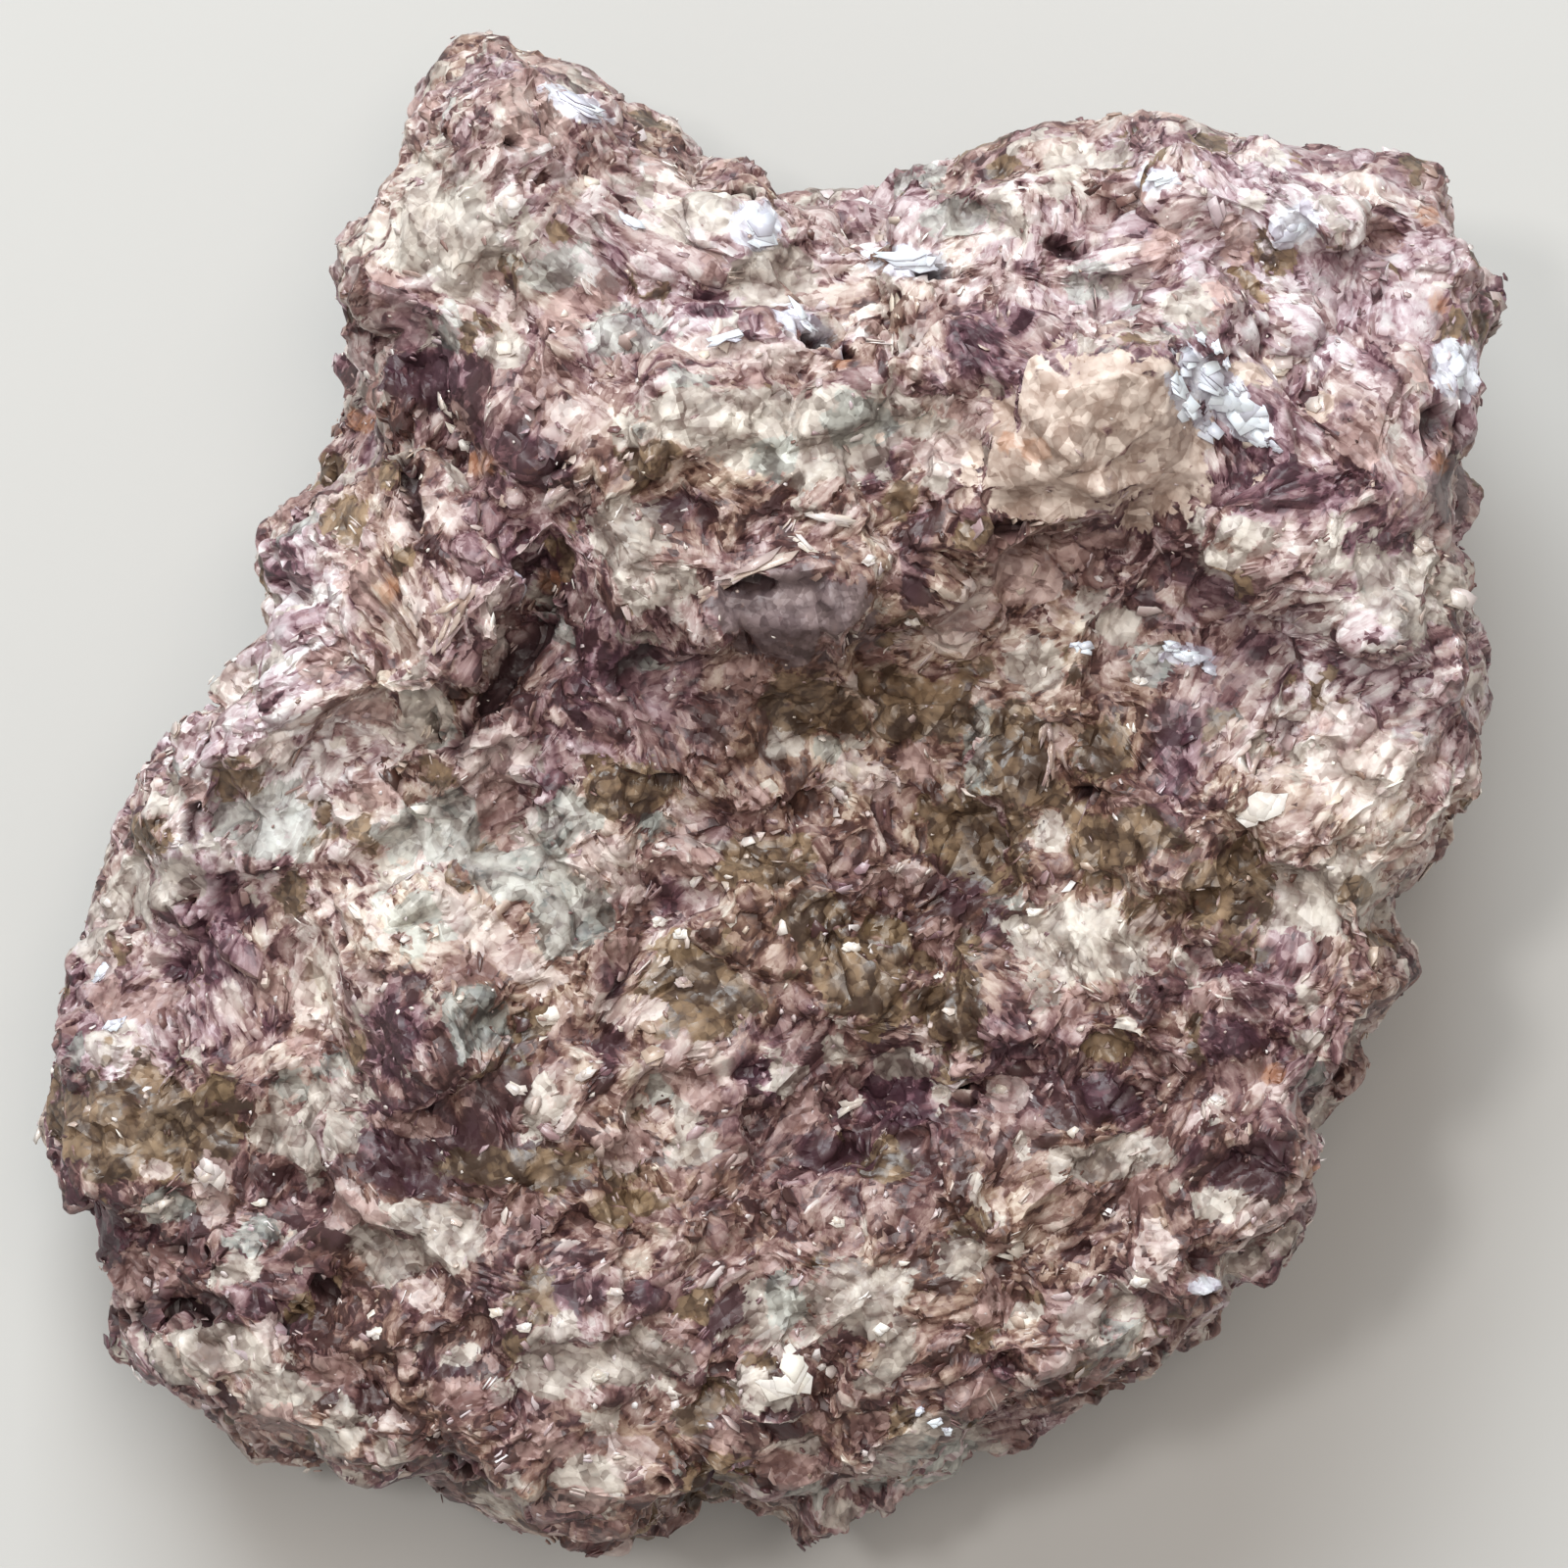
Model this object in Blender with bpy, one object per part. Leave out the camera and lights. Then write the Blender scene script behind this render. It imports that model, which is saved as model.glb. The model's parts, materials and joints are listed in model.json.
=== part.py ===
"""Raw lepidolite hand specimen: one broken lump of mica rock, lying on its back.

The lump has a narrow peak and a broad shoulder at the top (+Y), a blunt point low on the left
(-X), a steep right side and a rounded bottom. Its front (+Z) rises over a slope to a brow, steps
down along a crack, and holds a hollow. The whole surface is broken into grains: flat-faced
crystals of mica, quartz and feldspar of a few millimetres, grown together.

Lengths are in millimetres until the mesh is made. +X is the lump's right, +Y its top, +Z up.
"""
import bmesh
import bpy
import numpy as np

NODE = "lepidolite_stone"
MM = 0.001

# Driving dimensions
STONE_WIDTH = 62.2  # along X, point to right side
OUTLINE_WIDTH = 62.2  # width that the outline below is drawn at
SCALE = STONE_WIDTH / OUTLINE_WIDTH
RIM_ROUNDING = 2.8  # how far inside the outline the faces start to turn down
RIM_INSET = 0.6  # the grains stand out past the smooth form by about this much
SIDE_RUN = 12.0  # way round the rim from a face to the widest ring
SIDE_SCOOPS = 1.1  # depth of the shallow scoops between the rim and the faces
SIDE_HALF_HEIGHT = 9.0  # from the widest ring to a face, as the scoops see it
LEAST_RISE = 1.0  # the faces stay at least this far from the widest ring
CENTRE = (0.5, -1.5)  # the outline is seen whole from here

# Fineness of the solid
BALL_SUBDIVISIONS = 7
TRIANGLES = 9600
BASE_SNAP = 0.12  # points this near the base belong to it
SEARCH_CHUNK = 4096  # points looked at together when grains are shared out

# Grains
BLOCK_COUNT = 150
BLOCK_TILT = 0.14
BLOCK_LIFT = 0.36
GRAIN_COUNT = 760
GRAIN_TILT = 0.30
GRAIN_LIFT = 0.26
GRAIN_LIMIT = 0.80
SIDE_RELIEF = 0.85  # share of the grains' height that steep sides have
BASE_RELIEF = 0.15  # share of the grains' height that is left near the base
BASE_FADE = (0.3, 2.6)  # they grow to their full height over this rise from the base
BORDER_WAVES = ((0.35, 1.9), (0.2, 4.3))  # swing and waves per radian of the grains' borders
SEED = 41

# The outline, clockwise from the left foot of the peak, x and y in millimetres
PEAK = (
    (-14.0, 28.5), (-13.8, 30.6), (-11.6, 31.4), (-9.7, 31.3), (-8.0, 31.0), (-6.6, 30.3),
    (-5.6, 28.7), (-4.4, 27.9), (-3.1, 27.7), (-2.6, 26.8), (-0.1, 26.4),
)
SADDLE = ((0.7, 25.4), (2.4, 25.0), (4.1, 25.4), (5.8, 25.3), (6.8, 26.9), (8.4, 26.8))
SHOULDER = (
    (10.8, 27.2), (13.8, 27.4), (16.2, 27.7), (18.9, 27.1), (21.4, 26.7), (23.7, 26.5),
    (26.4, 26.4), (28.9, 25.6), (30.3, 24.1), (30.6, 22.0),
)
RIGHT_SIDE = (
    (31.1, 19.9), (30.4, 17.1), (30.0, 13.7), (29.9, 9.4), (30.0, 7.5), (30.5, 6.1),
    (30.9, 2.4), (30.3, 0.4), (29.7, -0.9), (28.9, -2.7), (28.0, -4.0), (27.6, -5.1),
)
LOWER_RIGHT = (
    (28.4, -6.2), (27.8, -8.1), (26.0, -10.5), (24.8, -12.7), (23.8, -13.9), (24.0, -15.2),
    (23.4, -17.8), (20.5, -21.7), (18.0, -23.5), (14.6, -25.8), (10.4, -27.9),
)
BOTTOM = (
    (7.2, -29.6), (3.2, -31.2), (0.3, -31.6), (-1.3, -30.9), (-3.5, -30.9), (-6.9, -31.4),
    (-9.7, -31.1), (-11.9, -29.9), (-13.2, -28.6), (-15.6, -28.8), (-18.3, -28.0),
    (-20.6, -28.1), (-23.4, -27.1), (-25.9, -25.4),
)
POINT = (
    (-27.3, -23.6), (-28.0, -21.6), (-29.2, -19.0), (-30.5, -16.3), (-31.2, -13.9),
    (-30.9, -11.8), (-29.8, -9.4), (-28.5, -7.4), (-27.6, -5.0),
)
LEFT_SIDE = (
    (-27.1, -3.4), (-26.5, -0.8), (-24.4, 2.0), (-22.6, 4.7), (-20.9, 7.2), (-20.3, 8.6),
    (-20.6, 10.0), (-19.8, 12.3), (-17.6, 15.4), (-17.2, 17.2), (-17.6, 19.9),
    (-17.5, 23.0), (-16.3, 26.1), (-14.7, 27.6),
)
OUTLINE = PEAK + SADDLE + SHOULDER + RIGHT_SIDE + LOWER_RIGHT + BOTTOM + POINT + LEFT_SIDE

# Height of the widest ring of the lump, by the direction it is seen in from the centre
RING_DEGREES = (-180, -150, -90, -45, 0, 45, 75, 110, 135, 160, 180)
RING_HEIGHTS = (8.0, 7.8, 9.0, 10.5, 12.5, 13.0, 12.0, 11.0, 11.5, 9.5, 8.0)

# Broken faces: a point (x, y, z) on each and its rise along x and along y
UPPER_FACES = (
    ((5.0, 12.0, 28.6), (-0.05, -0.10)),
    ((0.0, 19.0, 26.0), (0.03, -1.30)),
    ((-14.0, 16.0, 25.2), (0.60, -0.25)),
    ((27.5, 14.0, 26.0), (-1.00, -0.05)),
)
LOWER_FACES = (
    ((0.0, -8.0, 24.0), (0.02, 0.03)),
    ((-15.0, 0.0, 23.2), (0.55, 0.02)),
    ((0.0, -27.0, 22.4), (0.04, 0.66)),
    ((21.8, -18.2, 21.8), (-0.46, 0.54)),
    ((27.5, 2.0, 23.4), (-0.95, 0.00)),
)
BACK_FACES = (
    ((0.0, 0.0, -0.5), (0.010, -0.006)),
    ((0.0, 12.0, 0.0), (-0.08, 0.62)),
    ((-12.0, 0.0, 0.0), (-0.34, 0.10)),
    ((0.0, -14.0, 0.0), (0.05, -0.38)),
    ((18.0, 0.0, 0.0), (0.72, 0.12)),
    ((11.0, -12.0, 0.0), (0.34, -0.34)),
)
FACE_BLEND = 0.7
STEP_BLEND = 0.45
CRYSTAL_EDGE = (0.90, 1.12)  # a crystal's flat face ends between these shares of its half size

# The foot of the brow, where the upper block steps down, as y over x, and its steepness
BROW_X = (-24.0, -17.5, -12.3, -8.4, -5.3, -1.6, 2.5, 7.0, 9.6, 13.0, 17.4, 23.6, 31.0)
BROW_Y = (0.5, 1.4, 1.8, 6.6, 3.9, 5.6, 5.2, 5.6, 9.4, 9.0, 7.9, 5.0, 3.0)
BROW_FOOT = 23.0
BROW_STEEPNESS = 1.9

# Rounded swellings and hollows of the front: (x, y), (half length, half width), turn, height
SWELLINGS = (
    ((-10.6, 26.2), (4.2, 6.6), 12, 5.0),
    ((-14.6, 21.8), (2.4, 2.8), 0, 1.2),
    ((-4.6, 20.6), (4.6, 1.9), -8, 1.3),
    ((-1.0, 16.2), (4.6, 3.0), 10, 1.0),
    ((14.0, 15.4), (4.4, 3.2), 0, 1.5),
    ((20.5, 23.2), (6.0, 2.4), 5, 1.6),
    ((1.1, 7.6), (3.4, 1.7), 0, 1.3),
    ((24.6, 1.0), (3.6, 3.8), 0, 1.0),
    ((24.9, -9.6), (1.8, 3.6), -22, 1.9),
    ((-11.0, 1.6), (2.2, 2.0), 0, 1.2),
    ((-23.0, -1.4), (3.8, 2.4), 20, 1.1),
    ((-12.6, -8.6), (3.6, 4.6), 0, 0.9),
    ((-26.6, -14.0), (3.2, 2.6), 0, 0.9),
    ((-23.4, -22.6), (3.6, 2.2), 18, 1.6),
    ((-5.5, -17.4), (3.4, 1.8), 0, 0.8),
    ((4.2, -20.8), (4.6, 1.8), 0, 1.3),
    ((19.6, -15.6), (3.2, 2.6), 30, 1.1),
    ((-9.6, -26.4), (4.2, 2.0), -8, 1.0),
    ((8.4, -25.0), (3.6, 2.4), 30, 0.8),
)
HOLLOWS = (
    ((8.8, -1.2), (6.4, 6.8), 0, -3.2),
    ((6.4, -13.2), (6.6, 2.0), 0, -1.5),
    ((-15.2, 18.2), (2.2, 1.2), 10, -2.2),
    ((24.6, 18.4), (2.0, 1.3), 20, -1.3),
    ((15.0, 23.7), (1.6, 0.9), 0, -1.2),
    ((-2.0, 24.2), (2.6, 0.9), -10, -0.8),
    ((-18.6, -21.4), (1.4, 1.3), 0, -1.7),
    ((18.6, 5.6), (2.8, 1.6), -15, -1.2),
    ((-2.6, -6.6), (2.2, 2.6), 0, -0.9),
)

# Cracks: from (x, y), to (x, y), half width, depth
CRACKS = (
    ((-15.6, 19.2), (-13.3, 17.1), 0.55, 1.3),
    ((-13.3, 17.1), (-11.9, 13.8), 0.55, 1.5),
    ((-11.9, 13.8), (-8.4, 8.5), 0.50, 1.5),
    ((-8.4, 8.5), (-12.4, 3.1), 0.55, 2.6),
    ((4.4, 13.8), (7.4, 4.2), 0.70, 0.9),
    ((10.4, 10.6), (18.4, 9.8), 0.60, 1.2),
    ((-17.6, 1.9), (-12.6, 3.1), 0.60, 1.6),
    ((-27.4, -22.6), (-23.4, -20.9), 0.50, 2.0),
    ((20.6, 1.6), (23.3, 4.0), 0.45, 1.2),
    ((13.8, 8.8), (17.8, 11.8), 0.45, 1.2),
    ((28.0, 15.8), (27.8, 12.3), 0.45, 1.4),
    ((10.0, -11.8), (3.4, -12.4), 0.45, 1.2),
    ((13.4, -18.6), (18.2, -13.2), 0.45, 1.0),
)

# Crystals with a flat face: (x, y), (half length, half width), turn, rise along and across, lift
FLAT_CRYSTALS = (
    ((19.2, 17.2), (3.4, 1.5), -50, (0.05, 0.10), 0.8),
    ((1.1, 7.7), (3.1, 1.5), 0, (0.02, 0.35), 0.7),
    ((-12.2, -9.2), (1.6, 1.5), 20, (0.10, -0.05), 0.5),
    ((-15.2, -14.5), (2.1, 1.7), 10, (-0.15, 0.10), 0.5),
    ((1.1, -24.5), (1.2, 1.1), 15, (0.05, 0.10), 0.7),
    ((25.0, -9.6), (2.6, 1.1), 68, (0.05, 0.30), 0.8),
    ((4.1, -7.4), (1.7, 1.4), -20, (0.20, -0.20), 0.4),
    ((14.2, 15.6), (2.4, 1.6), 15, (0.12, 0.10), 0.7),
    ((-0.6, 24.0), (2.0, 1.5), -10, (0.05, -0.70), 0.6),
    ((-1.4, 18.8), (3.6, 0.9), -6, (0.05, -0.50), 0.6),
    ((-26.0, -14.6), (1.8, 1.5), 0, (0.40, 0.05), 0.4),
    ((22.6, 23.8), (1.8, 1.1), -35, (0.05, -0.90), 0.5),
    ((-21.4, -1.4), (2.0, 1.4), 10, (0.35, 0.10), 0.5),
    ((11.2, 1.6), (1.4, 2.2), -10, (-0.30, 0.10), 0.6),
)


def clear_scene():
    """Start from an empty file."""
    for item in list(bpy.data.objects):
        bpy.data.objects.remove(item, do_unlink=True)


def soft_lowest(heights, blend):
    """Lowest of several surfaces, with the edges between them slightly rounded."""
    stack = np.stack(heights)
    low = stack.min(axis=0)
    return low - blend * np.log(np.exp(-(stack - low) / blend).sum(axis=0))


def soft_highest(heights, blend):
    """Highest of several surfaces, with the corners between them slightly filled."""
    return -soft_lowest([-height for height in heights], blend)


def face_heights(faces, x, y):
    """Heights of the broken faces over the points (x, y)."""
    return [z + rise_x * (x - px) + rise_y * (y - py) for (px, py, z), (rise_x, rise_y) in faces]


def local_axes(x, y, place, turn):
    """Distances from a place along and across a direction turned by some degrees."""
    angle = np.radians(turn)
    dx, dy = x - place[0], y - place[1]
    return dx * np.cos(angle) + dy * np.sin(angle), dy * np.cos(angle) - dx * np.sin(angle)


def front_height(x, y):
    """Height of the front over (x, y): two blocks with a step between, then the relief on them."""
    brow = np.interp(x, BROW_X, BROW_Y)
    wall = BROW_FOOT + BROW_STEEPNESS * (y - brow)
    upper = soft_lowest(face_heights(UPPER_FACES, x, y) + [wall], FACE_BLEND)
    lower = soft_lowest(face_heights(LOWER_FACES, x, y), FACE_BLEND)
    height = soft_highest([upper, lower], STEP_BLEND)
    for place, (long, wide), turn, lift in SWELLINGS + HOLLOWS:
        along, across = local_axes(x, y, place, turn)
        height = height + lift * np.exp(-((along / long) ** 4 + (across / wide) ** 4) ** 0.5)
    for (x0, y0), (x1, y1), half_width, depth in CRACKS:
        length = np.hypot(x1 - x0, y1 - y0)
        turn = np.degrees(np.arctan2(y1 - y0, x1 - x0))
        along, across = local_axes(x, y, ((x0 + x1) / 2, (y0 + y1) / 2), turn)
        past_end = np.maximum(np.abs(along) - length / 2, 0)
        height = height - depth * np.exp(-(across**2 + past_end**2) / half_width**2)
    return height


def flatten_crystals(x, y, height):
    """Cut the flat crystal faces into the front.

    Each face is a plane at its own tilt through the height of its middle plus its lift, and
    takes over the height inside a box with slightly rounded corners.
    """
    for place, (long, wide), turn, (rise_along, rise_across), lift in FLAT_CRYSTALS:
        along, across = local_axes(x, y, place, turn)
        middle = front_height(np.array([place[0]]), np.array([place[1]]))[0]
        plane = middle + lift + rise_along * along + rise_across * across
        edge = np.maximum(np.abs(along) / long, np.abs(across) / wide)
        inside = np.interp(edge, CRYSTAL_EDGE, (1, 0))
        height = height + inside * (plane - height)
    return height


def outline_radius(direction):
    """Distance from the centre to the inset outline in each direction, in radians."""
    corners = np.array(OUTLINE) - np.array(CENTRE)
    along = np.roll(corners, -1, axis=0) - np.roll(corners, 1, axis=0)
    along = along / np.linalg.norm(along, axis=1, keepdims=True)
    corners = corners + RIM_INSET * np.column_stack([along[:, 1], -along[:, 0]])
    angles = np.arctan2(corners[:, 1], corners[:, 0])
    radii = np.hypot(corners[:, 0], corners[:, 1])
    return np.interp(direction, angles, radii, period=2 * np.pi)


def scoops(way_round, level):
    """Shallow hollows in a steep side, from -0.3 on the bumps between them to 1 in a hollow.

    Two waves cross on the unrolled side, 10 and 15 mm long round it and 13 and 8 mm long up it.
    """
    first = np.sin(0.62 * way_round + 0.50 * level + 1.0)
    second = np.sin(0.41 * way_round - 0.74 * level)
    return 0.35 + 0.33 * (first + second)


def lump(ball):
    """Bend a unit ball into the lump.

    The angle of a point of the ball from the front pole becomes its way along the front, over
    the rounded rim and along the back. Its direction round the pole stays as it is.
    """
    direction = np.arctan2(ball[:, 1], ball[:, 0])
    colatitude = np.arccos(np.clip(ball[:, 2], -1, 1))
    way = 1 - np.abs(colatitude / (np.pi / 2) - 1)
    radius = outline_radius(direction)
    ring = np.interp(np.degrees(direction), RING_DEGREES, RING_HEIGHTS)
    flat_run = radius - RIM_ROUNDING
    run = way * (flat_run + SIDE_RUN)
    bend = np.clip((run - flat_run) / SIDE_RUN, 0, 1) * np.pi / 2
    reach = np.where(run < flat_run, run, flat_run + RIM_ROUNDING * np.sin(bend))
    level = ring + np.sign(ball[:, 2]) * SIDE_HALF_HEIGHT * np.cos(bend)
    reach = reach - SIDE_SCOOPS * np.sin(2 * bend) * scoops(direction * radius, level)
    x = CENTRE[0] + reach * np.cos(direction)
    y = CENTRE[1] + reach * np.sin(direction)
    front = flatten_crystals(x, y, front_height(x, y))
    back = soft_highest(face_heights(BACK_FACES, x, y), FACE_BLEND)
    front = np.maximum(front, ring + LEAST_RISE)
    back = np.minimum(back, ring - LEAST_RISE)
    face = np.where(colatitude < np.pi / 2, front, back)
    z = ring + (face - ring) * np.cos(bend)
    return np.column_stack([x, y, z])


def nearest(points, centres):
    """Number of the centre that is nearest to each point."""
    found = np.empty(len(points), np.int64)
    size = (centres**2).sum(axis=1)
    for start in range(0, len(points), SEARCH_CHUNK):
        chunk = points[start:start + SEARCH_CHUNK]
        found[start:start + SEARCH_CHUNK] = np.argmin(size - 2 * chunk @ centres.T, axis=1)
    return found


def grain_relief(points, count, tilt, lift, draw):
    """Height of the broken grains over the points.

    The nearest of the scattered centres is the grain that a point belongs to. Each grain is a
    plane with its own tilt and lift, so its borders with its neighbours are small steps.
    """
    centres = points[draw.choice(len(points), count, replace=False)]
    tilts = draw.normal(0, tilt, (count, 3))
    lifts = draw.normal(0, lift, count)
    (broad, broad_rate), (fine, fine_rate) = BORDER_WAVES
    wobble = broad * np.sin(points[:, (1, 2, 0)] * broad_rate)
    wobble = wobble + fine * np.sin(points[:, (2, 0, 1)] * fine_rate)
    owner = nearest(points + wobble, centres)
    height = lifts[owner] + ((points - centres[owner]) * tilts[owner]).sum(axis=1)
    return np.clip(height, -GRAIN_LIMIT, GRAIN_LIMIT)


def surface_normals(points, triangles):
    """Outward unit normals of the points of a closed mesh."""
    a, b, c = (points[triangles[:, i]] for i in range(3))
    cross = np.cross(b - a, c - a)
    normals = np.zeros_like(points)
    for i in range(3):
        np.add.at(normals, triangles[:, i], cross)
    return normals / np.linalg.norm(normals, axis=1, keepdims=True)


def build_stone():
    """Shape the ball into the broken lump and thin its mesh where it is flat."""
    shape = bmesh.new()
    bmesh.ops.create_icosphere(shape, subdivisions=BALL_SUBDIVISIONS, radius=1)
    ball = np.array([vertex.co[:] for vertex in shape.verts])
    triangles = np.array([[vertex.index for vertex in face.verts] for face in shape.faces])
    points = lump(ball)
    normals = surface_normals(points, triangles)
    draw = np.random.default_rng(SEED)
    relief = grain_relief(points, BLOCK_COUNT, BLOCK_TILT, BLOCK_LIFT, draw)
    relief = relief + grain_relief(points, GRAIN_COUNT, GRAIN_TILT, GRAIN_LIFT, draw)
    relief = relief * np.interp(points[:, 2], BASE_FADE, (BASE_RELIEF, 1))
    relief = relief * (SIDE_RELIEF + (1 - SIDE_RELIEF) * np.abs(normals[:, 2]))
    points = points + normals * relief[:, None]
    points[:, 2] = np.maximum(points[:, 2], 0)
    for vertex, place in zip(shape.verts, points):
        vertex.co = place
    rough = bpy.data.meshes.new("rough")
    shape.to_mesh(rough)
    shape.free()
    return thinned(rough)


def thinned(rough):
    """The mesh with about the wanted number of triangles, resting on a flat base."""
    carrier = bpy.data.objects.new("carrier", rough)
    bpy.context.scene.collection.objects.link(carrier)
    thin = carrier.modifiers.new("thin", "DECIMATE")
    thin.ratio = TRIANGLES / len(rough.polygons)
    graph = bpy.context.evaluated_depsgraph_get()
    mesh = bpy.data.meshes.new_from_object(carrier.evaluated_get(graph))
    bpy.data.objects.remove(carrier, do_unlink=True)
    bpy.data.meshes.remove(rough)
    points = np.empty(len(mesh.vertices) * 3)
    mesh.vertices.foreach_get("co", points)
    points = points.reshape(-1, 3)
    points[:, 2] = np.where(points[:, 2] < BASE_SNAP, 0, points[:, 2])
    middle = (points.min(axis=0) + points.max(axis=0)) / 2
    points[:, :2] -= middle[:2]
    mesh.vertices.foreach_set("co", (points * SCALE * MM).ravel())
    mesh.update()
    return mesh


def stone_material():
    """Pearly lilac-grey rock."""
    material = bpy.data.materials.new("lepidolite")
    material.use_nodes = True
    shader = material.node_tree.nodes["Principled BSDF"]
    shader.inputs["Base Color"].default_value = (0.40, 0.31, 0.37, 1)
    shader.inputs["Roughness"].default_value = 0.5
    return material


def main():
    """Make the stone, its one named node."""
    clear_scene()
    mesh = build_stone()
    mesh.name = NODE
    mesh.materials.append(stone_material())
    stone = bpy.data.objects.new(NODE, mesh)
    bpy.context.scene.collection.objects.link(stone)


main()
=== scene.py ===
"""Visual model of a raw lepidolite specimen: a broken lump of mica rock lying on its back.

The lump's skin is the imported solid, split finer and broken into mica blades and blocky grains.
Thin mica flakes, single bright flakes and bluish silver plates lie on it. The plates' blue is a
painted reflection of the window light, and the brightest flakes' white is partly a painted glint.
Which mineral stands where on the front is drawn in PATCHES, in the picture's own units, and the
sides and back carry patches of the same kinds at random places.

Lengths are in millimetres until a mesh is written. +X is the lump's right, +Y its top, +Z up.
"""
import json
import logging
import math
from dataclasses import dataclass, field
from enum import Enum, IntEnum
from itertools import product

import bpy
import numpy as np
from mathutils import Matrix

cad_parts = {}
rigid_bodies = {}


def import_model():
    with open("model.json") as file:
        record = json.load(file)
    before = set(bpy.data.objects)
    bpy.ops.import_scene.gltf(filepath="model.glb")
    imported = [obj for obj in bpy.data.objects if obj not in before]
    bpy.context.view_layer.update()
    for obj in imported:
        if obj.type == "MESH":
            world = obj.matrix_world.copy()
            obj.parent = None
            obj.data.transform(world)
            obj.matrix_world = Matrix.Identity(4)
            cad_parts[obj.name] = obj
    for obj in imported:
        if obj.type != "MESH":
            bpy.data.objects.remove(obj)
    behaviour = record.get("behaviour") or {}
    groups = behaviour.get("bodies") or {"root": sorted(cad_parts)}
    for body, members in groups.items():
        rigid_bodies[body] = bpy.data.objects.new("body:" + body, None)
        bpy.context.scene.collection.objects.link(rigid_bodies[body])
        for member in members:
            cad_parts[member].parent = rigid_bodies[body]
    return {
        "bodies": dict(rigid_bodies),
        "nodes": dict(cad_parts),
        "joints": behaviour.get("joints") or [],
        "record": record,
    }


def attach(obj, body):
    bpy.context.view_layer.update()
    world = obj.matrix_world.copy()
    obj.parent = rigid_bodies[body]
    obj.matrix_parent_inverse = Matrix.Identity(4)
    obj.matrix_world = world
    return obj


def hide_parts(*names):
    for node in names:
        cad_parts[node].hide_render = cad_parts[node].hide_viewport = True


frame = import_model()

logging.basicConfig(level=logging.INFO, format="%(message)s")
log = logging.getLogger("lepidolite")

Array = np.ndarray
Colour = tuple[float, float, float]
Ramp = tuple[tuple[float, Colour], ...]
Table = tuple[tuple[float, ...], ...]
MM = 0.001
NODE = "lepidolite_stone"
TINY = 1e-12


class Mineral(Enum):
    """What a patch of the stone is made of."""

    ALBITE = "albite"
    GREEN = "green"
    PEACH = "peach"
    QUARTZ = "quartz"
    AMBER = "amber"
    PINK = "pink"
    RED = "red"
    PURPLE = "purple"
    SILVER = "silver"
    LENS = "lens"
    STAIN = "stain"
    HOLE = "hole"


class Salt(IntEnum):
    """Numbers that tell one use of the random lattices from another."""

    SKIN_FLAKES = 3
    SPRINKLED_FLAKES = 9
    CRYSTAL = 10
    CRYSTAL_TILT = 20
    CRYSTAL_LIFT = 30
    PATCH = 40
    CRYSTAL_TONE = 50
    LARGE_BLADE = 61
    SMALL_BLADE = 62
    BLADE_CHOICE = 63
    DOMAIN = 64
    DOMAIN_AXIS = 65
    STREAK_TILT = 66
    BLADE_TILT = 67
    DOMAIN_RUN = 68
    BLADE_SLOPE = 74
    BLADE_LIFT = 75
    SWELL = 76
    TONE_DRIFT = 81
    BLADE_TONE = 82
    WARMTH_DRIFT = 83
    BLADE_WARMTH = 84
    BLADE_SHIFT = 85
    TONE_CLOUD = 87
    DARK_BLADE = 88
    LUMP = 95
    LUMP_CHOICE = 96
    BLADE_BEND = 160
    LUMP_BEND = 190


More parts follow.
